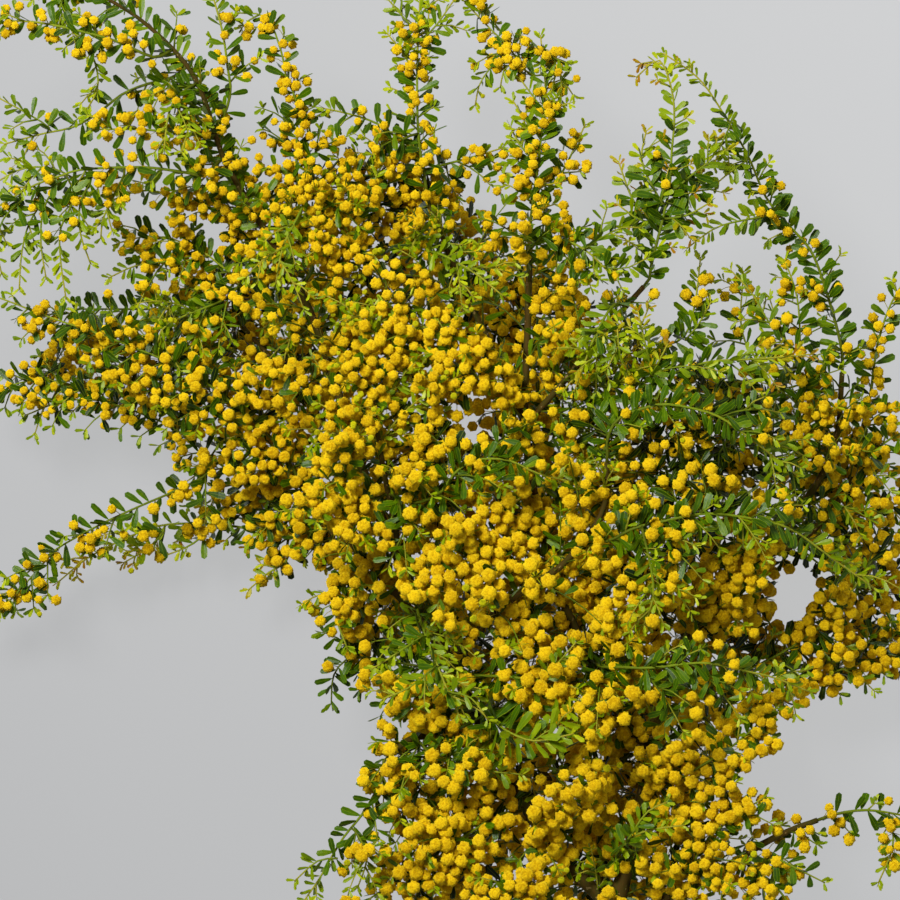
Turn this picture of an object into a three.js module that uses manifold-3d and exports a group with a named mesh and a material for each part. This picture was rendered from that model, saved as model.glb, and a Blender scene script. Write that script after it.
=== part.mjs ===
// Golden wattle sprig, cut and laid down.
// Millimetres. Seen from above, +X is to the right and +Y runs from the cut end to the tips. +Z is up.
// Each bough and twig follows a route of points chosen by hand in the sprig's own drawing frame.
// Leaves and flower heads are set along the twigs by one seeded rule.
import * as THREE from 'three';
import Module from 'manifold-3d';
import { mergeVertices } from 'three/addons/utils/BufferGeometryUtils.js';

const wasm = await Module();
wasm.setup();

// Driving dimensions. The phyllodes of this wattle are called leaves here.
const LEAF = { length: 9, width: 3.2, thickness: 0.8 };
const LEAF_SCALES = [0.85, 1.15];
const HEAD_DIAMETER = 6;
const STALK = { length: 7, radius: 0.42 };
const STALK_SCALES = [0.8, 1.2];
const TWIG = { base: 0.9, tip: 0.6, foot: 2.2 };

// Where leaves and heads sit: one axil each AXIL_GAP along a twig, each a golden angle round from the last.
// Every third axil here has a leaf and every fifth may have a head, counted from these first ones.
// The end of a twig is bare but for its last leaf. Angles are in radians.
const AXIL_GAP = 5.1;
const LEAF_EVERY = 3;
const FIRST_LEAF = 1;
const HEAD_EVERY = 5;
const FIRST_HEAD = 3;
const BARE_END = 3;
const LAST_LEAF_INSET = 1;
const AXILS_A_TWIG = 100;
const GOLDEN_ANGLE = 2.39996;
const LEAF_LEANS = [0.75, 1.1];
const LEAF_ROLLS = [-0.7, 0.7];
const HEAD_LEANS = [0.7, 1.25];
const HEAD_TURN = 1.2;

// A leaf or head that would touch something is turned round its twig, and left out after the last try.
// A leaf is tested as a rod that starts past its foot and stops short of its tip.
const RETRIES = 6;
const RETRY_TURN = 1.05;
const SEAT_GAP = 0.4;
const CLEARANCE = 0.25;
const FLOOR_CLEARANCE = 0.8;
const LEAF_ROD_START = 3;
const LEAF_ROD_INSET = 1.2;

// How finely stems are cut up
const BOUGH_SIDES = 5;
const TWIG_SIDES = 3;
const STALK_SIDES = 3;
const BOUGH_STEP = 25;
const TWIG_STEP = 21;
const ROD_STEP = 6;

// The middle of the sprig's outline in the drawing frame, which becomes the origin
const MIDDLE = new THREE.Vector3(0, -23, 0);

const COLOURS = {
  wood: { color: 0x6b5a34, roughness: 0.8, metalness: 0 },
  foliage: { color: 0x7f9a2c, roughness: 0.65, metalness: 0 },
};

// Boughs: the woody stem. Each grows from the one that it names, at the first point of its route.
const BOUGHS = {
  trunk: {
    radius: [4.2, 2.4],
    route: [
      [58, -244, 58], [60, -215, 60], [66, -185, 64], [74, -155, 68], [80, -125, 72], [83, -97, 76],
    ],
  },
  leader: {
    radius: [2.9, 0.7],
    route: [
      [66, -185, 64], [42, -160, 62], [20, -125, 60], [0, -85, 60], [-20, -45, 62], [-36, -5, 66],
      [-48, 33, 72], [-58, 60, 78], [-74, 88, 84], [-90, 116, 88], [-99, 143, 90], [-108, 157, 90],
      [-124, 172, 86], [-140, 182, 82],
    ],
  },
  middle: {
    radius: [2.2, 1.2],
    route: [
      [80, -125, 72], [62, -95, 80], [45, -60, 86], [35, -25, 88], [30, 10, 88], [31, 50, 88],
      [32, 88, 88],
    ],
  },
  top: { radius: [1.5, 1], route: [[30, 10, 88], [18, 38, 78], [4, 68, 74], [-8, 98, 76]] },
  right: {
    radius: [2.3, 1],
    route: [
      [83, -97, 76], [100, -70, 66], [120, -45, 62], [138, -25, 62], [147, -14, 64], [155, 5, 68],
      [157, 31, 72],
    ],
  },
  left: { radius: [1.8, 1.1], route: [[0, -85, 60], [-18, -62, 50], [-42, -36, 46], [-58, -18, 48]] },
  lower_right: {
    radius: [2, 1.1],
    route: [
      [66, -187, 64], [84, -181, 66], [106, -170, 70], [121, -160, 74], [134, -153, 76],
      [147, -148, 76],
    ],
  },
  lower_left: {
    radius: [1.6, 1.1],
    route: [[20, -125, 60], [2, -117, 66], [-14, -115, 72], [-24, -122, 76]],
  },
  front: {
    radius: [1.7, 1.1],
    route: [
      [0, -85, 60], [8, -76, 76], [18, -65, 92], [30, -55, 100], [45, -45, 106], [60, -25, 110],
      [62, -5, 112],
    ],
  },
  front_left: {
    radius: [1.3, 0.9],
    route: [[-20, -45, 62], [-22, -30, 80], [-26, -10, 96], [-30, 15, 104]],
  },
  inner_right: { radius: [1.4, 1], route: [[30, 10, 88], [46, 28, 94], [62, 48, 96], [77, 65, 96]] },
  far_right: { radius: [1.4, 1], route: [[120, -45, 62], [142, -36, 54], [160, -15, 50], [168, 15, 50]] },
  back_left: { radius: [1.3, 0.9], route: [[-36, -5, 66], [-50, 10, 50], [-66, 30, 38], [-84, 50, 34]] },
  back_middle: { radius: [1.4, 1], route: [[45, -60, 86], [44, -45, 64], [38, -20, 42], [30, 8, 30]] },
  back_right: { radius: [1.4, 1], route: [[83, -97, 76], [92, -80, 54], [104, -62, 36], [118, -46, 26]] },
  back_low: { radius: [1.5, 1], route: [[66, -185, 64], [58, -165, 46], [46, -142, 32], [30, -120, 24]] },
};

// Sprays: each is one node. Its first route grows from the bough on which it sits, and its other routes
// from the nearest twig of the same spray. flowers is the share of the leaf axils that flower.
const SPRAYS = [
  {
    name: 'left_arch', on: 'leader', flowers: 0.9,
    routes: [
      [
        [-118, 156, 98], [-132, 162, 100], [-146, 166, 100], [-165, 170, 96], [-180, 170, 90],
        [-192, 165, 84],
      ],
    ],
  },
  {
    name: 'leader_tip', on: 'leader', flowers: 0.2,
    routes: [[[-147, 186, 79], [-157, 186, 76], [-168, 180, 72]]],
  },
  {
    name: 'left_upper', on: 'leader', flowers: 0.5,
    routes: [
      [
        [-112, 148, 84], [-121, 146, 82], [-131, 142, 80], [-140, 135, 80], [-150, 129, 82],
        [-163, 126, 84], [-178, 122, 82],
      ],
    ],
  },
  {
    name: 'left_yellow', on: 'leader', flowers: 1,
    routes: [[[-101, 125, 98], [-111, 126, 102], [-123, 127, 104], [-142, 127, 104]]],
  },
  {
    name: 'left_long', on: 'leader', flowers: 0.6,
    routes: [
      [
        [-97, 109, 96], [-104, 110, 98], [-119, 112, 100], [-134, 112, 100], [-148, 111, 98],
        [-157, 108, 96], [-166, 105, 92], [-180, 97, 86], [-190, 89, 82],
      ],
      [[-162, 100, 88], [-168, 90, 84], [-171, 78, 82], [-172, 64, 80]],
      [[-149, 101, 94], [-155, 88, 90], [-155, 75, 88], [-153, 60, 86]],
    ],
  },
  {
    name: 'left_second', on: 'leader', flowers: 0.9,
    routes: [[[-86, 95, 76], [-94, 98, 72], [-104, 100, 72], [-122, 104, 72], [-136, 100, 68]]],
  },
  {
    name: 'left_middle', on: 'leader', flowers: 0.5,
    routes: [
      [[-58, 50, 64], [-72, 60, 60], [-82, 67, 58], [-92, 74, 58], [-100, 80, 58], [-114, 86, 56]],
      [[-88, 62, 62], [-96, 58, 66], [-106, 54, 68], [-115, 49, 68], [-118, 40, 66]],
    ],
  },
  {
    name: 'left_dark', on: 'back_left', flowers: 0.2,
    routes: [[[-92, 57, 35], [-108, 57, 38], [-130, 57, 40], [-157, 57, 42]]],
  },
  {
    name: 'left_sweep', on: 'left', flowers: 0.5,
    routes: [
      [
        [-63, -8, 52], [-73, 6, 58], [-94, 24, 64], [-108, 33, 66], [-124, 40, 68], [-142, 47, 68],
        [-160, 53, 64], [-178, 60, 58], [-190, 64, 54],
      ],
    ],
  },
  {
    name: 'left_lower', on: 'left', flowers: 0.4,
    routes: [
      [[-66, -26, 40], [-80, -16, 38], [-94, -5, 36], [-114, 10, 36], [-140, 20, 36], [-166, 30, 36]],
      [
        [-100, -11, 44], [-112, -17, 46], [-126, -23, 46], [-143, -31, 44], [-162, -42, 40],
        [-180, -58, 34], [-190, -68, 30],
      ],
    ],
  },
  {
    name: 'left_low', on: 'left', flowers: 0.4,
    routes: [
      [
        [-50, -39, 36], [-62, -36, 30], [-88, -31, 26], [-111, -30, 24], [-125, -33, 22],
        [-146, -43, 20], [-160, -54, 16],
      ],
      [[-66, -45, 30], [-74, -50, 30], [-82, -57, 28]],
    ],
  },
  {
    name: 'leader_side', on: 'leader', flowers: 0.5,
    routes: [
      [
        [-90, 132, 98], [-87, 142, 102], [-88, 151, 104], [-90, 165, 104], [-94, 180, 102],
        [-97, 190, 100],
      ],
    ],
  },
  {
    name: 'leader_right', on: 'leader', flowers: 0.9,
    routes: [
      [
        [-62, 88, 88], [-60, 97, 90], [-61, 112, 92], [-61, 137, 94], [-65, 148, 94], [-67, 158, 94],
        [-73, 172, 92], [-85, 174, 90],
      ],
      [[-56, 103, 98], [-60, 93, 104], [-66, 81, 106], [-69, 66, 104]],
    ],
  },
  {
    name: 'leader_droop', on: 'leader', flowers: 0.2,
    routes: [[[-106, 142, 99], [-111, 134, 109], [-113, 119, 111]]],
  },
  {
    name: 'top_left', on: 'top', flowers: 0.6,
    routes: [
      [[-10, 108, 78], [-12, 120, 80], [-13, 134, 82], [-13, 157, 82], [-12, 180, 80], [-12, 191, 78]],
      [[-20, 124, 86], [-29, 130, 88], [-41, 134, 90], [-56, 137, 90]],
      [[-3, 114, 74], [8, 117, 72], [21, 121, 70]],
    ],
  },
  {
    name: 'top_right', on: 'middle', flowers: 0.9,
    routes: [
      [[33, 98, 90], [34, 106, 92], [36, 123, 94], [38, 142, 94], [36, 165, 92]],
      [[31, 150, 88], [23, 161, 86], [15, 169, 84], [4, 181, 80]],
      [[41, 106, 86], [46, 113, 84], [54, 130, 82]],
    ],
  },
  {
    name: 'top_light', on: 'top', flowers: 0.1,
    routes: [[[-10, 80, 90], [-2, 77, 98], [10, 70, 104], [21, 61, 106]]],
  },
  {
    name: 'top_yellow', on: 'leader', flowers: 1,
    routes: [[[-48, 66, 84], [-41, 80, 88], [-34, 95, 90], [-29, 110, 90]]],
  },
  {
    name: 'top_back', on: 'back_middle', flowers: 0.6,
    routes: [
      [[29, 18, 30], [24, 36, 30], [14, 58, 32], [0, 80, 36]],
      [[22, 46, 36], [30, 60, 40], [36, 76, 44]],
    ],
  },
  {
    name: 'right_tall', on: 'inner_right', flowers: 0.4,
    routes: [
      [
        [80, 74, 98], [83, 86, 100], [87, 104, 100], [88, 119, 100], [89, 131, 100], [88, 143, 98],
        [83, 155, 96], [74, 148, 94],
      ],
      [[78, 92, 94], [72, 101, 92], [67, 115, 90]],
      [[93, 98, 96], [99, 106, 94], [101, 120, 92]],
    ],
  },
  {
    name: 'right_arch', on: 'right', flowers: 0.4,
    routes: [
      [
        [156, 44, 74], [150, 65, 76], [144, 80, 78], [135, 90, 80], [126, 101, 82], [119, 117, 84],
        [109, 134, 86], [99, 148, 88], [85, 158, 88],
      ],
      [[125, 93, 90], [115, 91, 94], [105, 88, 96], [94, 80, 96]],
    ],
  },
  {
    name: 'right_upright', on: 'right', flowers: 0.5,
    routes: [
      [[142, 0, 72], [140, 14, 75], [140, 37, 76], [139, 60, 76], [134, 76, 74]],
      [[131, 32, 66], [122, 38, 62], [117, 50, 60], [118, 72, 60]],
    ],
  },
  {
    name: 'right_inner', on: 'inner_right', flowers: 0.5,
    routes: [[[72, 48, 88], [84, 42, 84], [94, 46, 82], [98, 60, 82], [100, 77, 82]]],
  },
  {
    name: 'right_edge', on: 'far_right', flowers: 0.6,
    routes: [[[170, 26, 52], [172, 42, 56], [177, 58, 58], [184, 70, 58]]],
  },
  {
    name: 'right_side', on: 'far_right', flowers: 0.7,
    routes: [[[167, -4, 58], [176, 4, 64], [188, 10, 66]]],
  },
  {
    name: 'right_low', on: 'far_right', flowers: 0.6,
    routes: [[[152, -30, 44], [164, -26, 38], [180, -22, 34], [191, -20, 32]]],
  },
  {
    name: 'right_yellow', on: 'right', flowers: 1,
    routes: [[[104, -62, 78], [110, -52, 88], [119, -44, 94], [131, -40, 98]]],
  },
  {
    name: 'front_right', on: 'front', flowers: 0.6,
    routes: [
      [
        [62, 4, 114], [66, 12, 116], [75, 16, 118], [86, 18, 120], [104, 14, 120], [115, 7, 118],
        [127, -2, 114], [137, -10, 110],
      ],
    ],
  },
  {
    name: 'front_bronze', on: 'inner_right', flowers: 0.2,
    routes: [
      [
        [56, 26, 100], [68, 25, 104], [78, 27, 106], [90, 31, 106], [103, 35, 106], [121, 36, 104],
        [144, 38, 100],
      ],
      [[79, 34, 112], [77, 42, 116], [74, 55, 118]],
    ],
  },
  {
    name: 'front_cascade', on: 'front', flowers: 0.7,
    routes: [
      [
        [62, -36, 118], [72, -31, 122], [84, -28, 124], [102, -25, 124], [124, -28, 120],
        [136, -32, 116], [150, -42, 110], [170, -56, 102],
      ],
    ],
  },
  {
    name: 'front_lower_right', on: 'middle', flowers: 0.7,
    routes: [
      [
        [60, -86, 96], [68, -86, 106], [80, -86, 112], [100, -84, 114], [115, -87, 112],
        [128, -90, 108], [143, -96, 102],
      ],
    ],
  },
  {
    name: 'front_low_1', on: 'leader', flowers: 0.6,
    routes: [
      [[8, -90, 76], [14, -90, 88], [23, -90, 96], [35, -92, 100], [47, -97, 102], [62, -102, 102]],
    ],
  },
  {
    name: 'front_low_2', on: 'leader', flowers: 0,
    routes: [[[14, -104, 78], [18, -108, 94], [24, -112, 106], [34, -115, 112], [49, -112, 114]]],
  },
  {
    name: 'front_low_3', on: 'lower_left', flowers: 0.6,
    routes: [[[-9, -120, 82], [-2, -124, 88], [10, -127, 92], [29, -129, 94]]],
  },
  {
    name: 'front_light', on: 'leader', flowers: 0,
    routes: [[[-13, -64, 76], [-10, -73, 88], [-6, -83, 96], [-2, -93, 100], [4, -106, 102]]],
  },
  {
    name: 'front_upper', on: 'front_left', flowers: 0.9,
    routes: [[[-29, 24, 106], [-29, 33, 108], [-29, 45, 108], [-26, 58, 106]]],
  },
  {
    name: 'front_side', on: 'front_left', flowers: 0.7,
    routes: [[[-34, -22, 94], [-41, -19, 98], [-45, -10, 100], [-44, 3, 102], [-42, 17, 102]]],
  },
  {
    name: 'front_across', on: 'front_left', flowers: 0.4,
    routes: [
      [
        [-14, -21, 98], [-4, -17, 106], [2, -9, 110], [10, -4, 112], [23, -4, 112], [34, -9, 110],
        [50, -13, 106],
      ],
    ],
  },
  {
    name: 'front_hanging', on: 'inner_right', flowers: 0,
    routes: [[[66, 58, 106], [62, 54, 112], [56, 42, 114], [49, 23, 114]]],
  },
  {
    name: 'front_top', on: 'middle', flowers: 0.4,
    routes: [[[38, 84, 98], [46, 83, 104], [55, 78, 108], [64, 69, 108]]],
  },
  {
    name: 'front_heart', on: 'middle', flowers: 1,
    routes: [[[28, -34, 98], [16, -38, 104], [4, -46, 108], [-8, -54, 108]]],
  },
  {
    name: 'front_crown', on: 'middle', flowers: 1,
    routes: [[[22, 22, 98], [12, 28, 106], [3, 38, 108], [-5, 52, 106]]],
  },
  {
    name: 'lower_right_bend', on: 'trunk', flowers: 0.8,
    routes: [[[84, -135, 82], [93, -130, 88], [109, -120, 92], [118, -113, 94], [136, -97, 92]]],
  },
  {
    name: 'lower_right_brown', on: 'trunk', flowers: 0.5,
    routes: [
      [[92, -99, 64], [112, -92, 56], [133, -82, 54], [148, -72, 56], [158, -62, 58], [168, -47, 58]],
      [[136, -90, 48], [147, -93, 44], [160, -88, 42], [180, -82, 40], [191, -79, 38]],
    ],
  },
  {
    name: 'lower_right_tip', on: 'lower_right', flowers: 0.5,
    routes: [
      [[157, -145, 76], [167, -144, 76], [180, -146, 72], [192, -149, 68]],
      [[177, -153, 80], [176, -161, 82], [171, -173, 80]],
    ],
  },
  {
    name: 'lower_right_light', on: 'trunk', flowers: 0,
    routes: [[[66, -162, 82], [71, -155, 92], [79, -151, 96], [93, -149, 96]]],
  },
  {
    name: 'lower_right_under', on: 'lower_right', flowers: 0.4,
    routes: [
      [[119, -166, 82], [128, -172, 84], [135, -181, 84], [140, -192, 82]],
      [[128, -162, 90], [137, -166, 94], [149, -172, 94]],
    ],
  },
  {
    name: 'bottom_right', on: 'trunk', flowers: 0.7,
    routes: [[[50, -192, 76], [40, -182, 84], [29, -176, 88], [14, -174, 88]]],
  },
  {
    name: 'bottom_middle', on: 'leader', flowers: 0.9,
    routes: [[[42, -154, 76], [44, -146, 88], [50, -137, 96], [60, -126, 98]]],
  },
  {
    name: 'lower_right_inner', on: 'lower_right', flowers: 0.9,
    routes: [[[96, -168, 80], [102, -156, 86], [112, -147, 88], [126, -138, 86]]],
  },
  {
    name: 'lower_left_long', on: 'lower_left', flowers: 0.4,
    routes: [
      [
        [-27, -131, 78], [-34, -144, 80], [-42, -154, 80], [-47, -162, 80], [-52, -171, 78],
        [-61, -184, 76],
      ],
    ],
  },
  {
    name: 'lower_left_inner', on: 'lower_left', flowers: 0.7,
    routes: [[[-15, -128, 66], [-14, -144, 64], [-19, -163, 64], [-26, -174, 64], [-32, -187, 62]]],
  },
  {
    name: 'lower_left_upper', on: 'left', flowers: 0.8,
    routes: [[[-36, -50, 60], [-44, -56, 64], [-46, -66, 66], [-41, -80, 68]]],
  },
  {
    name: 'lower_left_dark', on: 'leader', flowers: 0.2,
    routes: [[[-8, -88, 46], [-26, -85, 42], [-40, -84, 42], [-47, -91, 42], [-48, -103, 42]]],
  },
  {
    name: 'lower_left_heart', on: 'leader', flowers: 1,
    routes: [[[2, -106, 70], [-10, -104, 78], [-20, -98, 82], [-28, -88, 84]]],
  },
  {
    name: 'bottom_left', on: 'leader', flowers: 0.9,
    routes: [[[20, -146, 70], [8, -153, 76], [-3, -161, 78], [-10, -173, 76]]],
  },
  {
    name: 'back_left_spray', on: 'back_left', flowers: 0.5, rest: [[-84, 64]],
    routes: [
      [[-62, 34, 24], [-72, 46, 12], [-83, 57, 8], [-98, 66, 10], [-116, 74, 18]],
      [[-56, 46, 20], [-50, 62, 16], [-46, 80, 20]],
    ],
  },
  {
    name: 'back_right_spray', on: 'back_right', flowers: 0.5, rest: [[126, 6]],
    routes: [
      [[124, -36, 16], [130, -20, 9], [132, 0, 8], [130, 16, 9], [125, 36, 16]],
      [[136, -34, 14], [150, -46, 14], [166, -56, 20]],
    ],
  },
  {
    name: 'back_low_spray', on: 'back_low', flowers: 0.5, rest: [[18, -150]],
    routes: [
      [[26, -128, 18], [24, -142, 10], [22, -158, 9], [24, -176, 14]],
      [[14, -120, 16], [-4, -112, 14], [-20, -100, 18]],
    ],
  },
];

// A repeatable draw between 0 and 1 from three whole numbers
function draw(spray, organ, kind) {
  let hash = Math.imul(spray, 0x9e3779b1) ^ Math.imul(organ, 0x85ebca77) ^ Math.imul(kind, 0xc2b2ae3d);
  hash = Math.imul(hash ^ (hash >>> 15), 0x2c1b3c6d);
  hash = Math.imul(hash ^ (hash >>> 12), 0x297a2d39);
  return ((hash ^ (hash >>> 15)) >>> 0) / 4294967296;
}

function vector(point) {
  return new THREE.Vector3(...point);
}

// A route through points, in straight stretches of about one step each, read at a length along it
class Route {
  constructor(points, startRadius, endRadius, step) {
    const curve = new THREE.CatmullRomCurve3(points, false, 'catmullrom', 0.5);
    this.corners = curve.getSpacedPoints(Math.max(1, Math.round(curve.getLength() / step)));
    this.lengths = [0];
    for (let i = 1; i < this.corners.length; i += 1) {
      this.lengths.push(this.lengths[i - 1] + this.corners[i].distanceTo(this.corners[i - 1]));
    }
    this.length = this.lengths[this.lengths.length - 1];
    this.startRadius = startRadius;
    this.endRadius = endRadius;
  }

  stretchAt(s) {
    let i = 1;
    while (i < this.lengths.length - 1 && this.lengths[i] < s) i += 1;
    return i;
  }

  pointAt(s) {
    const i = this.stretchAt(s);
    const share = (s - this.lengths[i - 1]) / (this.lengths[i] - this.lengths[i - 1]);
    return this.corners[i - 1].clone().lerp(this.corners[i], THREE.MathUtils.clamp(share, 0, 1));
  }

  directionAt(s) {
    const i = this.stretchAt(s);
    return this.corners[i].clone().sub(this.corners[i - 1]).normalize();
  }

  directionAtCorner(i) {
    const before = this.corners[Math.max(i - 1, 0)];
    const after = this.corners[Math.min(i + 1, this.corners.length - 1)];
    return after.clone().sub(before).normalize();
  }

  radiusAt(s) {
    const share = THREE.MathUtils.clamp(s / this.length, 0, 1);
    return THREE.MathUtils.lerp(this.startRadius, this.endRadius, share);
  }

  // The length along the route that comes nearest to a place
  nearestTo(target) {
    let best = { gap: Infinity, s: 0 };
    for (let i = 1; i < this.corners.length; i += 1) {
      const stretch = new THREE.Line3(this.corners[i - 1], this.corners[i]);
      const share = stretch.closestPointToPointParameter(target, true);
      const gap = stretch.at(share, new THREE.Vector3()).distanceTo(target);
      const s = THREE.MathUtils.lerp(this.lengths[i - 1], this.lengths[i], share);
      if (gap < best.gap) best = { gap, s };
    }
    return best.s;
  }
}

// Two directions square to a stem, from which angles round it are counted
function axesRound(direction) {
  const side = new THREE.Vector3(0, 0, 1).cross(direction);
  if (side.lengthSq() < 1e-4) side.set(1, 0, 0);
  side.normalize();
  return [side, direction.clone().cross(side).normalize()];
}

function outwardAt(direction, turn) {
  const [side, over] = axesRound(direction);
  return side.multiplyScalar(Math.cos(turn)).add(over.multiplyScalar(Math.sin(turn)));
}

// A tapered stem: a cylinder bent along its route
function stemGeometry(route, sides) {
  const rings = route.corners.length - 1;
  const geometry = new THREE.CylinderGeometry(route.endRadius, route.startRadius, rings, sides, rings);
  const position = geometry.attributes.position;
  for (let i = 0; i < position.count; i += 1) {
    const corner = Math.round(position.getY(i) + rings / 2);
    const [side, over] = axesRound(route.directionAtCorner(corner));
    const place = route.corners[corner].clone();
    place.addScaledVector(side, position.getX(i)).addScaledVector(over, -position.getZ(i));
    position.setXYZ(i, place.x, place.y, place.z);
  }
  return geometry;
}

// An oblong leaf: a flat underside on six outline points, narrow at the foot, with one raised point on top
function leafGeometry(foot, direction, across, scale) {
  const length = LEAF.length * scale;
  const width = LEAF.width * scale;
  const flat = direction.clone().cross(across).normalize();
  const outline = [[0, 0], [0.34, 0.42], [0.78, 0.46], [1, 0.05], [0.78, -0.46], [0.34, -0.42]];
  const points = outline.map(([along, aside]) => (
    foot.clone().addScaledVector(direction, along * length).addScaledVector(across, aside * width)
  ));
  const ridge = foot.clone().addScaledVector(direction, 0.56 * length);
  points.push(ridge.addScaledVector(flat, LEAF.thickness));
  const underside = [0, 1, 5, 1, 2, 5, 2, 4, 5, 2, 3, 4];
  const upperside = outline.flatMap((_, i) => [(i + 1) % outline.length, i, outline.length]);
  const geometry = new THREE.BufferGeometry().setFromPoints(points);
  geometry.setIndex([...underside, ...upperside]);
  return geometry;
}

function stalkGeometry(from, to) {
  return stemGeometry(new Route([from, to], STALK.radius, STALK.radius, Infinity), STALK_SIDES);
}

function headGeometry(centre) {
  return new THREE.IcosahedronGeometry(HEAD_DIAMETER / 2, 0).translate(centre.x, centre.y, centre.z);
}

// A head that lies on the surface has one face turned down flat on it
function restingHeadGeometry(place) {
  const geometry = new THREE.IcosahedronGeometry(HEAD_DIAMETER / 2, 0);
  const position = geometry.attributes.position;
  const middle = new THREE.Vector3();
  for (let i = 0; i < 3; i += 1) {
    middle.addScaledVector(new THREE.Vector3().fromBufferAttribute(position, i), 1 / 3);
  }
  const height = middle.length();
  const down = new THREE.Vector3(0, 0, -1);
  geometry.applyQuaternion(new THREE.Quaternion().setFromUnitVectors(middle.normalize(), down));
  return geometry.translate(place[0], place[1], height);
}

// A closed geometry as a solid that can be joined
function solid(geometry) {
  const bare = geometry.clone();
  bare.deleteAttribute('normal');
  bare.deleteAttribute('uv');
  const merged = mergeVertices(bare, 1e-4);
  return new wasm.Manifold(new wasm.Mesh({
    numProp: 3,
    vertProperties: new Float32Array(merged.attributes.position.array),
    triVerts: new Uint32Array(merged.index.array),
  }));
}

function joined(geometries) {
  const whole = geometries.map(solid).reduce((sum, piece) => sum.add(piece));
  const mesh = whole.getMesh();
  const geometry = new THREE.BufferGeometry();
  geometry.setAttribute('position', new THREE.BufferAttribute(mesh.vertProperties, 3));
  geometry.setIndex(new THREE.BufferAttribute(mesh.triVerts, 1));
  geometry.computeVertexNormals();
  return geometry;
}

// What has been placed so far, as round-ended rods, so that the next piece can be kept clear of it
const placed = [];

function segmentGap(a, b) {
  const u = a.to.clone().sub(a.from);
  const v = b.to.clone().sub(b.from);
  const w = a.from.clone().sub(b.from);
  const uu = u.dot(u);
  const uv = u.dot(v);
  const vv = v.dot(v);
  const uw = u.dot(w);
  const vw = v.dot(w);
  const clamp = THREE.MathUtils.clamp;
  const flat = uu * vv - uv * uv;
  let s = flat > 1e-9 ? clamp((uv * vw - vv * uw) / flat, 0, 1) : 0;
  const t = vv > 1e-9 ? clamp((uv * s + vw) / vv, 0, 1) : 0;
  s = uu > 1e-9 ? clamp((uv * t - uw) / uu, 0, 1) : 0;
  const nearA = a.from.clone().addScaledVector(u, s);
  const nearB = b.from.clone().addScaledVector(v, t);
  return nearA.distanceTo(nearB) - a.radius - b.radius;
}

function isClear(rod) {
  if (Math.min(rod.from.z, rod.to.z) - rod.radius < FLOOR_CLEARANCE) return false;
  return placed.every((other) => other.node === rod.node && !(rod.apart && other.apart)
    || segmentGap(rod, other) > CLEARANCE);
}

function rodsAlong(route, node) {
  const rods = [];
  const count = Math.ceil(route.length / ROD_STEP);
  for (let i = 0; i < count; i += 1) {
    const from = route.pointAt((i / count) * route.length);
    const to = route.pointAt(((i + 1) / count) * route.length);
    rods.push({ node, from, to, radius: route.radiusAt((i / count) * route.length) });
  }
  return rods;
}

// The route of a twig from the surface of the stem that carries it
function twigRoute(points, carrier, fused) {
  const first = vector(points[0]);
  const s = carrier.nearestTo(first);
  const axis = carrier.pointAt(s);
  const along = carrier.directionAt(s);
  const atEnd = s >= carrier.length - 1e-6;
  const away = atEnd ? along : first.clone().sub(axis).projectOnPlane(along).normalize();
  const reach = atEnd ? SEAT_GAP : carrier.radiusAt(s) + SEAT_GAP;
  const start = fused ? axis : axis.clone().addScaledVector(away, reach);
  const route = [start, start.clone().addScaledVector(away, TWIG.foot), ...points.map(vector)];
  const base = Math.min(TWIG.base, carrier.radiusAt(s));
  return new Route(route, base, TWIG.tip, TWIG_STEP);
}

// Leaves and flower heads on one twig, kept clear of everything placed before them
function organsOn(route, spray, number, firstOrgan) {
  const geometries = [];
  const count = Math.floor((route.length - BARE_END) / AXIL_GAP);
  for (let k = 1; k <= count; k += 1) {
    const organ = firstOrgan + k;
    const s = k * AXIL_GAP;
    const turn = k * GOLDEN_ANGLE + draw(number, organ, 1) - 0.5;
    const last = k === count;
    if (k % LEAF_EVERY === FIRST_LEAF || last) {
      const place = last ? route.length - LAST_LEAF_INSET : s;
      geometries.push(...leafAt(route, place, turn, spray.name, number, organ));
    }
    if (k % HEAD_EVERY === FIRST_HEAD && draw(number, organ, 2) < spray.flowers) {
      geometries.push(...headAt(route, s, turn + HEAD_TURN, spray.name, number, organ));
    }
  }
  return geometries;
}

function leafAt(route, s, turn, node, number, organ) {
  const stem = route.directionAt(s);
  const lean = THREE.MathUtils.lerp(...LEAF_LEANS, draw(number, organ, 3));
  const scale = THREE.MathUtils.lerp(...LEAF_SCALES, draw(number, organ, 4));
  const foot = route.pointAt(s);
  for (let attempt = 0; attempt < RETRIES; attempt += 1) {
    const outward = outwardAt(stem, turn + attempt * RETRY_TURN);
    const direction = stem.clone().multiplyScalar(Math.cos(lean)).addScaledVector(outward, Math.sin(lean));
    const across = stem.clone().addScaledVector(direction, -stem.dot(direction)).normalize();
    across.applyAxisAngle(direction, THREE.MathUtils.lerp(...LEAF_ROLLS, draw(number, organ, 5)));
    const from = foot.clone().addScaledVector(direction, LEAF_ROD_START);
    const to = foot.clone().addScaledVector(direction, LEAF.length * scale - LEAF_ROD_INSET);
    const rod = { node, from, to, radius: LEAF.width * scale * 0.5, apart: true };
    if (isClear(rod)) {
      placed.push(rod);
      return [leafGeometry(foot, direction, across, scale)];
    }
  }
  return [];
}

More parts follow.
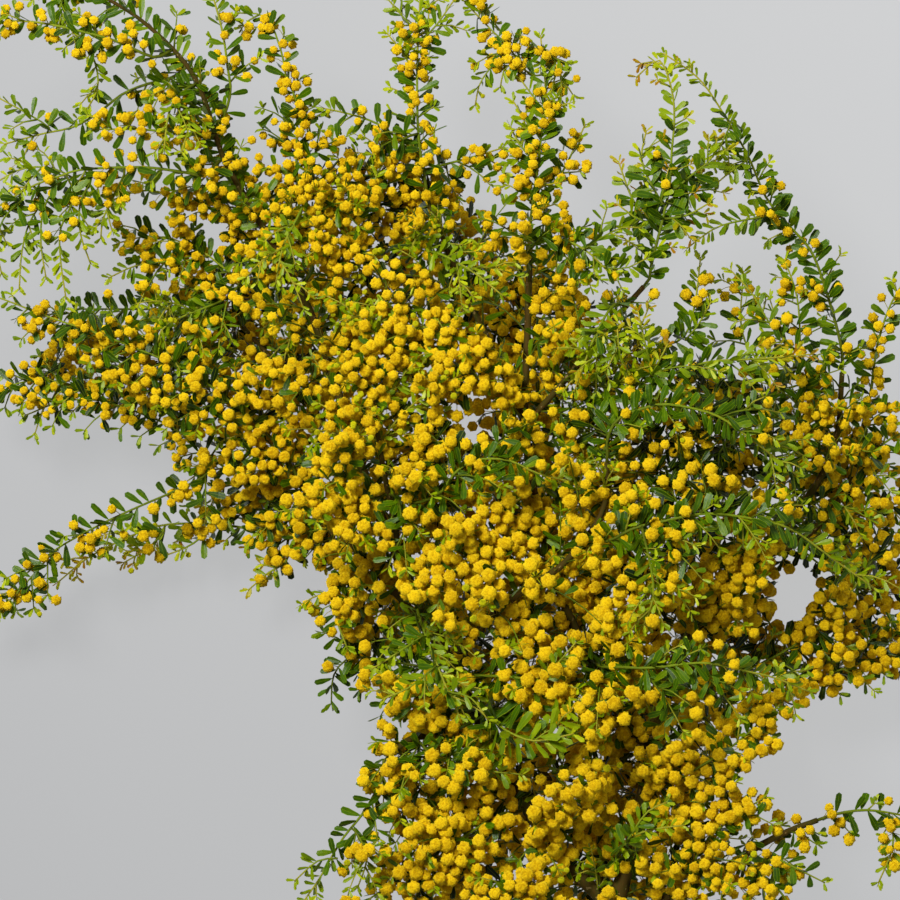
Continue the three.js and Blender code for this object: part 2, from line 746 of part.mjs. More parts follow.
function headAt(route, s, turn, node, number, organ) {
  const stem = route.directionAt(s);
  const lean = THREE.MathUtils.lerp(...HEAD_LEANS, draw(number, organ, 6));
  const foot = route.pointAt(s);
  const reach = STALK.length * THREE.MathUtils.lerp(...STALK_SCALES, draw(number, organ, 7));
  for (let attempt = 0; attempt < RETRIES; attempt += 1) {
    const outward = outwardAt(stem, turn + attempt * RETRY_TURN);
    const direction = stem.clone().multiplyScalar(Math.cos(lean)).addScaledVector(outward, Math.sin(lean));
    const centre = foot.clone().addScaledVector(direction, reach);
    const rod = { node, from: centre, to: centre, radius: HEAD_DIAMETER / 2, apart: true };
    const clearOfTwig = foot.clone().addScaledVector(direction, 2 * TWIG.base);
    const stalk = { node, from: clearOfTwig, to: centre, radius: STALK.radius };
    if (isClear(rod) && isClear(stalk)) {
      placed.push(rod, stalk);
      return [stalkGeometry(foot, centre), headGeometry(centre)];
    }
  }
  return [];
}

function restingHeads(spray, routes) {
  return (spray.rest || []).flatMap(([x, y]) => {
    const head = restingHeadGeometry([x, y]);
    head.computeBoundingSphere();
    const centre = head.boundingSphere.center.clone();
    const carrier = routes.reduce((best, route) => {
      const gap = (candidate) => candidate.pointAt(candidate.nearestTo(centre)).distanceTo(centre);
      return gap(route) < gap(best) ? route : best;
    });
    const foot = carrier.pointAt(carrier.nearestTo(centre));
    placed.push({ node: spray.name, from: centre, to: centre, radius: HEAD_DIAMETER / 2, apart: true });
    return [head, stalkGeometry(foot, centre)];
  });
}

function namedMesh(name, geometry, colour) {
  const mesh = new THREE.Mesh(geometry, new THREE.MeshStandardMaterial(colour));
  mesh.name = name;
  mesh.position.copy(MIDDLE).negate();
  return mesh;
}

const sprig = new THREE.Group();

// The woody stem
const boughRoutes = {};
for (const [name, bough] of Object.entries(BOUGHS)) {
  boughRoutes[name] = new Route(bough.route.map(vector), ...bough.radius, BOUGH_STEP);
  placed.push(...rodsAlong(boughRoutes[name], 'stem'));
}
const boughGeometries = Object.values(boughRoutes).map((route) => stemGeometry(route, BOUGH_SIDES));
sprig.add(namedMesh('stem', joined(boughGeometries), COLOURS.wood));

// The twigs of every spray come first, so that leaves and heads keep clear of all of them
const twigs = SPRAYS.map((spray) => {
  const routes = [];
  for (const points of spray.routes) {
    const target = vector(points[0]);
    const gap = (route) => route.pointAt(route.nearestTo(target)).distanceTo(target);
    const fused = routes.length > 0;
    const carrier = fused ? routes.reduce((a, b) => (gap(b) < gap(a) ? b : a)) : boughRoutes[spray.on];
    const route = twigRoute(points, carrier, fused);
    routes.push(route);
    placed.push(...rodsAlong(route, spray.name));
  }
  return routes;
});

const rests = SPRAYS.map((spray, i) => restingHeads(spray, twigs[i]));

SPRAYS.forEach((spray, i) => {
  const geometries = twigs[i].map((route) => stemGeometry(route, TWIG_SIDES));
  geometries.push(...rests[i]);
  twigs[i].forEach((route, j) => geometries.push(...organsOn(route, spray, i + 1, AXILS_A_TWIG * j)));
  sprig.add(namedMesh(spray.name, joined(geometries), COLOURS.foliage));
});

export default sprig;
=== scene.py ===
import math

import bpy
import numpy as np
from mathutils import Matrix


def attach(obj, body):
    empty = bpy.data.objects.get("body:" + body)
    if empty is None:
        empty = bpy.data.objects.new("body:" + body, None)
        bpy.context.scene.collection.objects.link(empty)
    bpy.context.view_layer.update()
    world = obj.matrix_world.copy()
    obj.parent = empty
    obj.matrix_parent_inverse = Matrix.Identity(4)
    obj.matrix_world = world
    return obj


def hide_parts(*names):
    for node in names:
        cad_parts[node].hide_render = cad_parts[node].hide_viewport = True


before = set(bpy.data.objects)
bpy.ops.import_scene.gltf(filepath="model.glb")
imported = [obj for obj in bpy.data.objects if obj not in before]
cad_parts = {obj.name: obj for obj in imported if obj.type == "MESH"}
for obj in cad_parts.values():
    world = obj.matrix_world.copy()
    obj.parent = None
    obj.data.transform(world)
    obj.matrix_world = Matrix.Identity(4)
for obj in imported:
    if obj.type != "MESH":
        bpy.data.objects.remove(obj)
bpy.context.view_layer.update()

# Golden wattle sprig, cut and laid down. Sizes are millimetres in the sprig's own drawing frame.
# Seen from above, +X is to the right, +Y runs from the cut end to the tips, and the surface is at height 0.
MM = 0.001
# The middle of the sprig's outline in the drawing frame, which is the model's origin
MIDDLE = np.array([0.0, -23.0, 0.0])

# Flower heads, on thread-thin stalks. They are largest round one place low in the middle. A head that finds
# no room at its first turn round the stem tries the next ones.
HEAD_DIAMETER = 5.7
LARGEST_AT = (20.0, -90.0)
SIZES_BY_PLACE = (1.14, 0.74)
SMALLEST_FROM = 215.0
OPEN_SIZES = (0.76, 1.1)
BUD_SIZES = (0.4, 0.62)
STALK_LENGTH = 6.4
STALK_SCALES = (0.7, 1.3)
STALK_RADII = (0.17, 0.14)
HEAD_LEANS = (0.7, 1.25)
HEAD_TURN = 1.2
HEAD_RISE = 0.3
HEAD_TOUCH = 0.72
HEAD_TRIES = 5
HEAD_TRY_TURN = 1.25
NEXT_HEAD_TURN = 1.9
STALK_SAG = (0.0, -0.8, 0.3)
STALK_STEP, PLAIN_STALK_STEP = 3.6, 9.0
FLORETS = (0.16, 0.19, 0.17, 0.18, 0.2, 0.17)

# The shares of the old and of the young axils that bloom, and the youth from which an axil has no heads yet
BLOOM_SHARES = (0.88, 0.38)
BLOOM_UP_TO = 0.85

# Besides its first head an axil may have more: fewer than these, at the sprig's edge and in its middle
HEADS_TOGETHER = (1.9, 3.9)

# Where the sprig is full, the shade grows from this height down, and so far below it is at its deepest.
# Heads deeper in the shade than the last number are plain, and heads and leaves in it get painted shade.
SHADE_FROM = 84.0
SHADE_SOFTNESS = 50.0
PLAIN_FROM = 0.3

# How far the heads of other sprays keep from a leafy route, seen from above
WINDOW = 4.6

# Every organ has a number that its draws go by, counted from the foot of its twig. These are the number of
# the head that lies on the surface, and what is added for a leaf between two axils, for an axil that the
# solids don't have, for the leaves of the tuft and for each further head of an axil.
RESTING_HEAD = 99
LEAF_BETWEEN = 400000
AXIL_BETWEEN = 500000
TUFT_LEAF = 900000
NEXT_HEAD = 1000000

# Leaves. The outline is their width at shares of their length, and the bends are how far they fold along the
# rib and arch. Young ones are smaller, closer together and lean forward more. Their colour goes by their age,
# and deep in the sprig it is darker by painted shade.
LEAF_LENGTH = 8.8
LEAF_WIDTH = 3.1
LEAF_THICKNESS = 0.45
LEAF_OUTLINE = ((0.0, 0.13, 0.4, 0.7, 0.85, 0.94, 1.0), (0.0, 0.35, 0.82, 1.0, 0.97, 0.76, 0.0))
LEAF_BENDS = ((0.1, 0.25), (0.25, 0.5), (-0.12, 0.3), (0.05, -0.2), (0.3, 0.1))
LEAF_SCALES = (0.84, 1.16)
LEAF_WIDTH_SCALES = (0.88, 1.1)
OLD_LEANS = (0.9, 1.4)
YOUNG_LEANS = (0.6, 0.95)
LEAF_ROLLS = (-0.6, 0.6)
LEAF_TRIES = 3
LEAF_TRY_TURN = 0.9
LEAF_CLEARANCE = 0.4
LEAF_TOUCH = 0.75
LOWEST_LEAF = 0.2
FINE_LEAF_FROM = 90.0
YOUNG_SIZE = 0.5
SHOOT_LEAF_SIZE = 0.92
SMALLER_AT_TIP = 0.3
COMBED = 0.4
GOLDEN_ANGLE = 2.39996
TUFT = 4
TUFT_SIZES = (0.62, 0.42)
OLD_AGE = 0.24
TIP_AGE = 0.62
BRONZE_AGE = 0.9
AGE_SPREAD = 0.14
# Painted shade: how much darker a leaf's colour is made where it lies deep in the sprig
PAINTED_LEAF_SHADE = 0.26

# Twigs, and the side shoots that they carry. A solid's axil is every second leaf of a twig here.
AXIL_GAP = 2.55
TWIG_RADII = (0.75, 0.34)
TWIG_FOOT = 2.2
SHOOT_AXIL_GAP = 2.6
SHOOT_RADII = (0.42, 0.22)
SHOOT_LEAN = 0.8
SHOOT_LENGTHS = (12.0, 34.0)
SHOOT_DROOP = 0.45
SHOOTS_UP_TO = 0.95
LEAFY_SHOOTS = 0.6

# A shoot that is longer than this carries shoots itself, up to this share of it and this share as long
BRANCHED_FROM = 19.0
BRANCHED_UP_TO = 0.6
BRANCH_LENGTH = 0.45

# Leaves and leafy shoots straight on the boughs
DRESSED_RADIUS = 1.3
BOUGH_SHOOT_GAP = 7.0
BOUGH_SHOOT_LENGTHS = (20.0, 44.0)
BARE_BELOW = -200.0

# How many shoots are young all along, elsewhere and in the leafy places
YOUNG_SHOOTS = (0.1, 0.25)

# How low, how high and how far out from the middle anything may grow
LOWEST = 0.6
HIGHEST = 134.0
REACH = (211.0, 233.0)

# With more layers round it than the first number, seen from above, an axil may stay bare. From the second it
# always does.
CROWDED = (1.7, 3.4)

# A spray with no more flowers than this is a leafy one: its leaves are twice as close
LEAFY_SPRAY = 0.3

# A spray with at least so many flowers keeps them in the leafy places too
FLOWERY_SPRAY = 0.85

# Dark shoots close the gaps, their leaves painted dark as painted shade. The gaps are looked for at these
# steps, one after another, and a place of which more than this share is covered is no gap.
GAP_STEPS = (6.0, 5.0, 4.0, 3.5)
GAP_COVER = 0.85

# How far a gap has to be inside the full outline and outside the open places, and how far off a stem may be
GAP_MARGIN = 5.0
GAP_OPEN_MARGIN = 3.0
GAP_REACH = 60.0

# How low such a shoot may end, and the number that its draws go by
GAP_LOWEST = 12.0
GAP_NUMBER = 9

# Where the sprig is full, seen from above: side shoots are longest inside this outline
FULL_OUTLINE = [
    (-92, 84), (-78, 110), (-30, 122), (4, 112), (14, 92), (52, 74), (62, 52), (84, 40),
    (118, 34), (144, 30), (164, 4), (182, -30), (190, -90), (150, -100), (112, -116), (98, -140),
    (108, -160), (96, -190), (-24, -190), (-16, -108), (-36, -84), (-53, -46), (-88, -26), (-98, 0),
    (-132, 16), (-168, 26), (-170, 48), (-116, 56), (-118, 76),
]
EDGE_SOFTNESS = 40.0

# The open places in and around it, which side shoots keep clear of
OPEN_PLACES = [
    [
        (-190, -92), (-150, -62), (-115, -44), (-88, -44), (-66, -60), (-55, -76), (-44, -100), (-35, -120),
        (-40, -150), (-66, -190), (-240, -190), (-240, -92),
    ],
    [(-240, 0), (-140, 2), (-118, -4), (-112, -10), (-130, -16), (-150, -26), (-190, -50), (-240, -50)],
    [(-190, 158), (-165, 160), (-150, 150), (-158, 140), (-190, 138)],
    [(-160, 62), (-162, 78), (-150, 86), (-132, 80), (-128, 66), (-142, 60)],
    [(-58, 190), (-62, 160), (-50, 142), (-34, 140), (-26, 150), (-28, 190)],
    [(-4, 150), (18, 150), (20, 118), (2, 112)],
    [(48, 190), (52, 150), (56, 125), (60, 100), (70, 105), (74, 140), (66, 150), (70, 190)],
    [(104, 190), (108, 150), (130, 120), (150, 92), (168, 84), (200, 78), (240, 78), (240, 190)],
    [(82, 64), (84, 42), (100, 40), (106, 60), (98, 76)],
    [(-99, 99), (-87, 99), (-85, 86), (-97, 84)],
    [(2, 24), (14, 26), (16, 4), (4, 0)],
    [(130, -44), (150, -42), (150, -64), (136, -74), (129, -62)],
    [(138, -112), (150, -104), (240, -102), (240, -138), (150, -136), (125, -138), (118, -128)],
    [(145, -165), (155, -160), (240, -160), (240, -190), (140, -190)],
]

# Places where the shoots are leafy and have few flower heads
LEAFY_PLACES = [
    [(48, 48), (80, 60), (124, 48), (140, 40), (136, -12), (100, -20), (60, -8), (44, 20)],
    [(76, -20), (140, -12), (176, -52), (168, -68), (124, -44), (76, -44)],
    [(76, -76), (140, -84), (144, -100), (76, -96)],
    [(-24, -76), (24, -76), (28, -110), (-20, -110)],
    [(-8, 84), (16, 80), (16, 60), (-8, 62)],
    [(-190, 140), (-136, 140), (-144, 60), (-190, 60)],
    [(60, 160), (124, 140), (124, 66), (60, 70)],
]
LEAFY_BLOOM = 0.3

# Colours as seen, from 0 to 255
DARK_LEAF = (12, 34, 0)
GREEN_LEAF = (70, 107, 0)
LIGHT_LEAF = (147, 168, 0)
PALE_LEAF = (196, 204, 20)
BRONZE_LEAF = (166, 112, 0)
LEAF_EDGE = (172, 192, 20)
# Heads go from the deep to the bright yellow by their own mottling and by painted shade
DEEP_YELLOW = (206, 161, 0)
BRIGHT_YELLOW = (253, 220, 22)
BUD_SHADE = (150, 150, 10)
BUD_YELLOW = (206, 204, 12)
OLD_TWIG = (84, 92, 12)
YOUNG_TWIG = (128, 148, 22)
STALK = (182, 172, 50)
BROWN_BARK = (88, 62, 22)
OLIVE_BARK = (62, 66, 10)
CUT_WOOD = (206, 184, 130)
CUT_RING = (172, 146, 92)
STAMEN_SHEEN = (255, 220, 60)
SKY = (214, 216, 218)

# The surface at its lower left and at its upper right: its colour, and what it glows with
FLOOR_SHADE = ((70, 70, 71), (78, 78, 79))
FLOOR_GLOW = ((175, 176, 177), (197, 198, 199))

# Strengths of the light, and the place in metres that the lamps point at
KEY_WATTS = 44.0
FILL_WATTS = 4.0
SKY_STRENGTH = 0.17
LIT_PLACE = (0.0, 0.02, 0.05)

# How far the year rings of the cut are apart
YEAR_RING = 0.9

# The view from straight above, 360 mm wide at the sprig's middle height
VIEW_WIDTH = 360.0
CAMERA_HEIGHT = 3000.0
MIDDLE_HEIGHT = 75.0


def spray(name, on, flowers, routes, young=(0.25,), rest=None, bronze=False, leaf_size=1.0, side_shoots=1.0):
    """One spray, and the bough that it is on.

    flowers is how richly it blooms. young is the share of each route that is young, and its last number is
    for all further routes. rest is where its lowest head lies on the surface. bronze says that its tips have
    that colour.
    """
    return {
        "name": name, "on": on, "flowers": flowers, "young": young, "routes": routes, "rest": rest,
        "tip_age": BRONZE_AGE if bronze else TIP_AGE, "leaf_size": leaf_size, "side_shoots": side_shoots,
    }


# Boughs: radius at the foot and at the tip, then the route. They are the same routes as the solids' ones.
BOUGHS = {
    "trunk": (4.2, 2.4, [
        (58, -244, 58), (60, -215, 60), (66, -185, 64), (74, -155, 68), (80, -125, 72), (83, -97, 76),
    ]),
    "leader": (2.9, 0.7, [
        (66, -185, 64), (42, -160, 62), (20, -125, 60), (0, -85, 60), (-20, -45, 62), (-36, -5, 66),
        (-48, 33, 72), (-58, 60, 78), (-74, 88, 84), (-90, 116, 88), (-99, 143, 90), (-108, 157, 90),
        (-124, 172, 86), (-140, 182, 82),
    ]),
    "middle": (2.2, 1.2, [
        (80, -125, 72), (62, -95, 80), (45, -60, 86), (35, -25, 88), (30, 10, 88), (31, 50, 88),
        (32, 88, 88),
    ]),
    "top": (1.5, 1, [(30, 10, 88), (18, 38, 78), (4, 68, 74), (-8, 98, 76)]),
    "right": (2.3, 1, [
        (83, -97, 76), (100, -70, 66), (120, -45, 62), (138, -25, 62), (147, -14, 64), (155, 5, 68),
        (157, 31, 72),
    ]),
    "left": (1.8, 1.1, [(0, -85, 60), (-18, -62, 50), (-42, -36, 46), (-58, -18, 48)]),
    "lower_right": (2, 1.1, [
        (66, -187, 64), (84, -181, 66), (106, -170, 70), (121, -160, 74), (134, -153, 76),
        (147, -148, 76),
    ]),
    "lower_left": (1.6, 1.1, [(20, -125, 60), (2, -117, 66), (-14, -115, 72), (-24, -122, 76)]),
    "front": (1.7, 1.1, [
        (0, -85, 60), (8, -76, 76), (18, -65, 92), (30, -55, 100), (45, -45, 106), (60, -25, 110),
        (62, -5, 112),
    ]),
    "front_left": (1.3, 0.9, [(-20, -45, 62), (-22, -30, 80), (-26, -10, 96), (-30, 15, 104)]),
    "inner_right": (1.4, 1, [(30, 10, 88), (46, 28, 94), (62, 48, 96), (77, 65, 96)]),
    "far_right": (1.4, 1, [(120, -45, 62), (142, -36, 54), (160, -15, 50), (168, 15, 50)]),
    "back_left": (1.3, 0.9, [(-36, -5, 66), (-50, 10, 50), (-66, 30, 38), (-84, 50, 34)]),
    "back_middle": (1.4, 1, [(45, -60, 86), (44, -45, 64), (38, -20, 42), (30, 8, 30)]),
    "back_right": (1.4, 1, [(83, -97, 76), (92, -80, 54), (104, -62, 36), (118, -46, 26)]),
    "back_low": (1.5, 1, [(66, -185, 64), (58, -165, 46), (46, -142, 32), (30, -120, 24)]),
}

# Sprays, in the same order as the solids' ones, because their draws go by number. Their first routes are the
# solids' ones, and the routes after those are tufts that only the finer pieces have.
SPRAYS = [
    spray("left_arch", "leader", flowers=0.8, young=(0.4, 1.0), side_shoots=0.8, routes=[
        [
            (-118, 156, 98), (-132, 162, 100), (-146, 166, 100), (-165, 170, 96), (-180, 170, 90),
            (-192, 165, 84),
        ],
        [(-146, 163, 99), (-141, 154, 96), (-140, 144, 94), (-144, 136, 92)],
    ]),
    spray("leader_tip", "leader", flowers=0.2, young=(0.4, 1.0), routes=[
        [(-147, 186, 79), (-157, 186, 76), (-168, 180, 72)],
        [(-152, 184, 78), (-156, 178, 78), (-153, 170, 78), (-147, 163, 76)],
    ]),
    spray("left_upper", "leader", flowers=0.4, young=(0.3, 0.8), routes=[
        [
            (-112, 148, 84), (-121, 146, 82), (-131, 142, 80), (-140, 135, 80), (-150, 129, 82),
            (-163, 126, 84), (-178, 122, 82),
        ],
        [(-160, 129, 86), (-170, 135, 84), (-181, 141, 82)],
    ]),
    spray("left_yellow", "leader", flowers=1.0, side_shoots=0.7, routes=[
        [(-101, 125, 98), (-111, 126, 102), (-123, 127, 104), (-142, 127, 104)],
    ]),
    spray("left_long", "leader", flowers=0.45, young=(0.3, 0.9), routes=[
        [
            (-97, 109, 96), (-104, 110, 98), (-119, 112, 100), (-134, 112, 100), (-148, 111, 98),
            (-157, 108, 96), (-166, 105, 92), (-180, 97, 86), (-190, 89, 82),
        ],
        [(-162, 100, 88), (-168, 90, 84), (-171, 78, 82), (-172, 64, 80)],
        [(-149, 101, 94), (-155, 88, 90), (-155, 75, 88), (-153, 60, 86)],
        [(-170, 100, 90), (-178, 92, 86), (-181, 82, 82), (-179, 70, 80)],
        [(-157, 105, 94), (-162, 95, 90), (-163, 82, 86), (-161, 68, 84)],
        [(-142, 108, 97), (-147, 98, 94), (-147, 86, 92), (-143, 74, 90)],
        [(-148, 107, 95), (-158, 112, 92), (-170, 112, 90), (-182, 106, 86)],
        [(-130, 108, 97), (-134, 100, 94), (-138, 92, 92), (-139, 84, 90)],
    ]),
    spray("left_second", "leader", flowers=0.9, young=(0.3,), routes=[
        [(-86, 95, 76), (-94, 98, 72), (-104, 100, 72), (-122, 104, 72), (-136, 100, 68)],
    ]),
    spray("left_middle", "leader", flowers=0.5, young=(0.3, 1.0, 0.4), routes=[
        [(-58, 50, 64), (-72, 60, 60), (-82, 67, 58), (-92, 74, 58), (-100, 80, 58), (-114, 86, 56)],
        [(-88, 62, 62), (-96, 58, 66), (-106, 54, 68), (-115, 49, 68), (-118, 40, 66)],
        [(-112, 85, 57), (-122, 86, 58), (-134, 83, 60)],
        [(-100, 79, 59), (-112, 76, 62), (-126, 74, 64), (-137, 69, 66)],
    ]),
    spray("left_dark", "back_left", flowers=0.2, young=(0.05,), routes=[
        [(-92, 57, 35), (-108, 57, 38), (-130, 57, 40), (-157, 57, 42)],
    ]),
    spray("left_sweep", "left", flowers=0.5, routes=[
        [
            (-63, -8, 52), (-73, 6, 58), (-94, 24, 64), (-108, 33, 66), (-124, 40, 68), (-142, 47, 68),
            (-160, 53, 64), (-178, 60, 58), (-190, 64, 54),
        ],
    ]),
    spray("left_lower", "left", flowers=0.4, routes=[
        [(-66, -26, 40), (-80, -16, 38), (-94, -5, 36), (-114, 10, 36), (-140, 20, 36), (-166, 30, 36)],
        [
            (-100, -11, 44), (-112, -17, 46), (-126, -23, 46), (-143, -31, 44), (-162, -42, 40),
            (-180, -58, 34), (-190, -68, 30),
        ],
        [(-160, -41, 41), (-170, -52, 38), (-183, -66, 34)],
        [(-140, 20, 37), (-156, 20, 38), (-172, 14, 38)],
        [(-164, 30, 37), (-175, 27, 36), (-187, 24, 34)],
    ]),
    spray("left_low", "left", flowers=0.4, young=(0.65,), bronze=True, routes=[
        [
            (-50, -39, 36), (-62, -36, 30), (-88, -31, 26), (-111, -30, 24), (-125, -33, 22),
            (-146, -43, 20), (-160, -54, 16),
        ],
        [(-66, -45, 30), (-74, -50, 30), (-82, -57, 28)],
        [(-98, -33, 25), (-106, -39, 24), (-116, -43, 22)],
        [(-116, -33, 24), (-123, -40, 23), (-133, -46, 21)],
    ]),
    spray("leader_side", "leader", flowers=0.4, young=(0.5,), side_shoots=0.5, routes=[
        [
            (-90, 132, 98), (-87, 142, 102), (-88, 151, 104), (-90, 165, 104), (-94, 180, 102),
            (-97, 190, 100),
        ],
    ]),
    spray("leader_right", "leader", flowers=0.7, young=(0.2, 1.0), routes=[
        [
            (-62, 88, 88), (-60, 97, 90), (-61, 112, 92), (-61, 137, 94), (-65, 148, 94), (-67, 158, 94),
            (-73, 172, 92), (-85, 174, 90),
        ],
        [(-56, 103, 98), (-60, 93, 104), (-66, 81, 106), (-69, 66, 104)],
    ]),
    spray("leader_droop", "leader", flowers=0.2, young=(1.0,), routes=[
        [(-106, 142, 99), (-111, 134, 109), (-113, 119, 111)],
        [(-107, 139, 102), (-103, 130, 110), (-106, 118, 112)],
    ]),
    spray("top_left", "top", flowers=0.45, young=(0.5, 0.4, 0.5, 0.9), routes=[
        [(-10, 108, 78), (-12, 120, 80), (-13, 134, 82), (-13, 157, 82), (-12, 180, 80), (-12, 191, 78)],
        [(-20, 124, 86), (-29, 130, 88), (-41, 134, 90), (-56, 137, 90)],
        [(-3, 114, 74), (8, 117, 72), (21, 121, 70)],
        [(-12, 166, 82), (-19, 173, 83), (-28, 184, 82)],
        [(-12, 162, 82), (-5, 170, 84), (2, 180, 84)],
        [(-13, 148, 82), (-18, 157, 84), (-25, 166, 86)],
    ]),
    spray("top_right", "middle", flowers=0.6, young=(0.35, 0.45, 0.4, 0.9), routes=[
        [(33, 98, 90), (34, 106, 92), (36, 123, 94), (38, 142, 94), (36, 165, 92)],
        [(31, 150, 88), (23, 161, 86), (15, 169, 84), (4, 181, 80)],
        [(41, 106, 86), (46, 113, 84), (54, 130, 82)],
        [(36, 124, 95), (30, 131, 95), (25, 139, 92)],
        [(38, 134, 95), (32, 142, 93), (27, 149, 90)],
        [(35, 114, 93), (28, 121, 91), (24, 129, 88)],
        [(12, 172, 84), (13, 182, 84), (20, 190, 82)],
        [(24, 159, 90), (18, 154, 92), (12, 146, 92), (10, 137, 90)],
        [(37, 160, 95), (41, 155, 98), (44, 148, 98), (44, 138, 96)],
        [(29, 155, 92), (22, 152, 94), (20, 144, 92)],
    ]),
    spray("top_light", "top", flowers=0.1, young=(1.0,), side_shoots=0.6, routes=[
        [(-10, 80, 90), (-2, 77, 98), (10, 70, 104), (21, 61, 106)],
    ]),
    spray("top_yellow", "leader", flowers=1.0, routes=[
        [(-48, 66, 84), (-41, 80, 88), (-34, 95, 90), (-29, 110, 90)],
    ]),
    spray("top_back", "back_middle", flowers=0.6, routes=[
        [(29, 18, 30), (24, 36, 30), (14, 58, 32), (0, 80, 36)],
        [(22, 46, 36), (30, 60, 40), (36, 76, 44)],
    ]),
    spray("right_tall", "inner_right", flowers=0.1, young=(0.5,), bronze=True, side_shoots=2.0, routes=[
        [
            (80, 74, 98), (83, 86, 100), (87, 104, 100), (88, 119, 100), (89, 131, 100), (88, 143, 98),
            (83, 155, 96), (74, 148, 94),
        ],
        [(78, 92, 94), (72, 101, 92), (67, 115, 90)],
        [(93, 98, 96), (99, 106, 94), (101, 120, 92)],
        [(84, 98, 102), (79, 107, 100), (76, 116, 98), (78, 127, 96)],
        [(90, 104, 103), (97, 110, 104), (104, 116, 102), (106, 124, 100)],
        [(87, 92, 102), (94, 93, 104), (103, 98, 106)],
        [(81, 90, 98), (74, 92, 98), (66, 98, 98)],
    ]),
    spray("right_arch", "right", flowers=0.25, young=(0.5, 0.9), routes=[
        [
            (156, 44, 74), (150, 65, 76), (144, 80, 78), (135, 90, 80), (126, 101, 82), (119, 117, 84),
            (109, 134, 86), (99, 148, 88), (85, 158, 88),
        ],
        [(125, 93, 90), (115, 91, 94), (105, 88, 96), (94, 80, 96)],
        [(112, 130, 88), (108, 122, 92), (105, 113, 92)],
        [(119, 116, 88), (112, 111, 92), (106, 106, 92)],
    ]),
    spray("right_upright", "right", flowers=0.4, young=(0.25, 0.3, 0.9), routes=[
        [(142, 0, 72), (140, 14, 75), (140, 37, 76), (139, 60, 76), (134, 76, 74)],
        [(131, 32, 66), (122, 38, 62), (117, 50, 60), (118, 72, 60)],
        [(138, 40, 78), (128, 50, 80), (121, 62, 80), (112, 72, 78)],
    ]),
    spray("right_inner", "inner_right", flowers=0.3, young=(0.3, 0.6), routes=[
        [(72, 48, 88), (84, 42, 84), (94, 46, 82), (98, 60, 82), (100, 77, 82)],
        [(94, 44, 84), (99, 50, 86), (104, 59, 86)],
    ]),
    spray("right_edge", "far_right", flowers=0.6, routes=[
        [(170, 26, 52), (172, 42, 56), (177, 58, 58), (184, 70, 58)],
    ]),
    spray("right_side", "far_right", flowers=0.7, routes=[
        [(167, -4, 58), (176, 4, 64), (188, 10, 66)],
    ]),
    spray("right_low", "far_right", flowers=0.8, routes=[
        [(152, -30, 44), (164, -26, 38), (180, -22, 34), (191, -20, 32)],
    ]),
    spray("right_yellow", "right", flowers=1.0, routes=[
        [(104, -62, 78), (110, -52, 88), (119, -44, 94), (131, -40, 98)],
    ]),
    spray("front_right", "front", flowers=0.2, young=(0.35,), side_shoots=0.5, routes=[
        [
            (62, 4, 114), (66, 12, 116), (75, 16, 118), (86, 18, 120), (104, 14, 120), (115, 7, 118),
            (127, -2, 114), (137, -10, 110),
        ],
    ]),
    spray("front_bronze", "inner_right", flowers=0.1, young=(0.5, 0.9), bronze=True, routes=[
        [
            (56, 26, 100), (68, 25, 104), (78, 27, 106), (90, 31, 106), (103, 35, 106), (121, 36, 104),
            (144, 38, 100),
        ],
        [(79, 34, 112), (77, 42, 116), (74, 55, 118)],
        [(80, 30, 110), (83, 36, 114), (86, 42, 114)],
        [(70, 28, 108), (67, 38, 114), (66, 48, 116)],
    ]),
    spray("front_cascade", "front", flowers=0.25, young=(0.35, 1.0), side_shoots=0.5, routes=[
        [
            (62, -36, 118), (72, -31, 122), (84, -28, 124), (102, -25, 124), (124, -28, 120),
            (136, -32, 116), (150, -42, 110), (170, -56, 102),
        ],
        [(76, -33, 125), (79, -46, 124), (80, -58, 122), (76, -70, 118)],
    ]),
    spray("front_lower_right", "middle", flowers=0.25, young=(0.35,), side_shoots=0.8, routes=[
        [
            (60, -86, 96), (68, -86, 106), (80, -86, 112), (100, -84, 114), (115, -87, 112),
            (128, -90, 108), (143, -96, 102),
        ],
    ]),
    spray("front_low_1", "leader", flowers=0.35, young=(0.4, 1.0), side_shoots=0.1, routes=[
        [(8, -90, 76), (14, -90, 88), (23, -90, 96), (35, -92, 100), (47, -97, 102), (62, -102, 102)],
        [(37, -91, 103), (43, -84, 106), (50, -76, 106)],
    ]),
    spray("front_low_2", "leader", flowers=0.0, young=(0.5,), leaf_size=1.6, side_shoots=0.2, routes=[
        [(14, -104, 78), (18, -108, 94), (24, -112, 106), (34, -115, 112), (49, -112, 114)],
    ]),
    spray("front_low_3", "lower_left", flowers=0.3, side_shoots=0.2, routes=[
        [(-9, -120, 82), (-2, -124, 88), (10, -127, 92), (29, -129, 94)],
    ]),
    spray("front_light", "leader", flowers=0.0, young=(1.0,), side_shoots=0.3, routes=[
        [(-13, -64, 76), (-10, -73, 88), (-6, -83, 96), (-2, -93, 100), (4, -106, 102)],
        [(-11, -74, 91), (-20, -80, 96), (-31, -87, 96)],
        [(-6, -86, 99), (-16, -94, 102), (-27, -99, 100)],
        [(-2, -96, 101), (8, -98, 104), (15, -107, 104)],
    ]),
    spray("front_upper", "front_left", flowers=0.9, routes=[
        [(-29, 24, 106), (-29, 33, 108), (-29, 45, 108), (-26, 58, 106)],
    ]),
    spray("front_side", "front_left", flowers=0.7, routes=[
        [(-34, -22, 94), (-41, -19, 98), (-45, -10, 100), (-44, 3, 102), (-42, 17, 102)],
    ]),
    spray("front_across", "front_left", flowers=0.15, young=(0.3,), side_shoots=0.3, routes=[
        [
            (-14, -21, 98), (-4, -17, 106), (2, -9, 110), (10, -4, 112), (23, -4, 112), (34, -9, 110),
            (50, -13, 106),
        ],
    ]),
    spray("front_hanging", "inner_right", flowers=0.0, young=(1.0,), side_shoots=0.5, routes=[
        [(66, 58, 106), (62, 54, 112), (56, 42, 114), (49, 23, 114)],
        [(58, 46, 115), (66, 42, 116), (62, 32, 116)],
    ]),
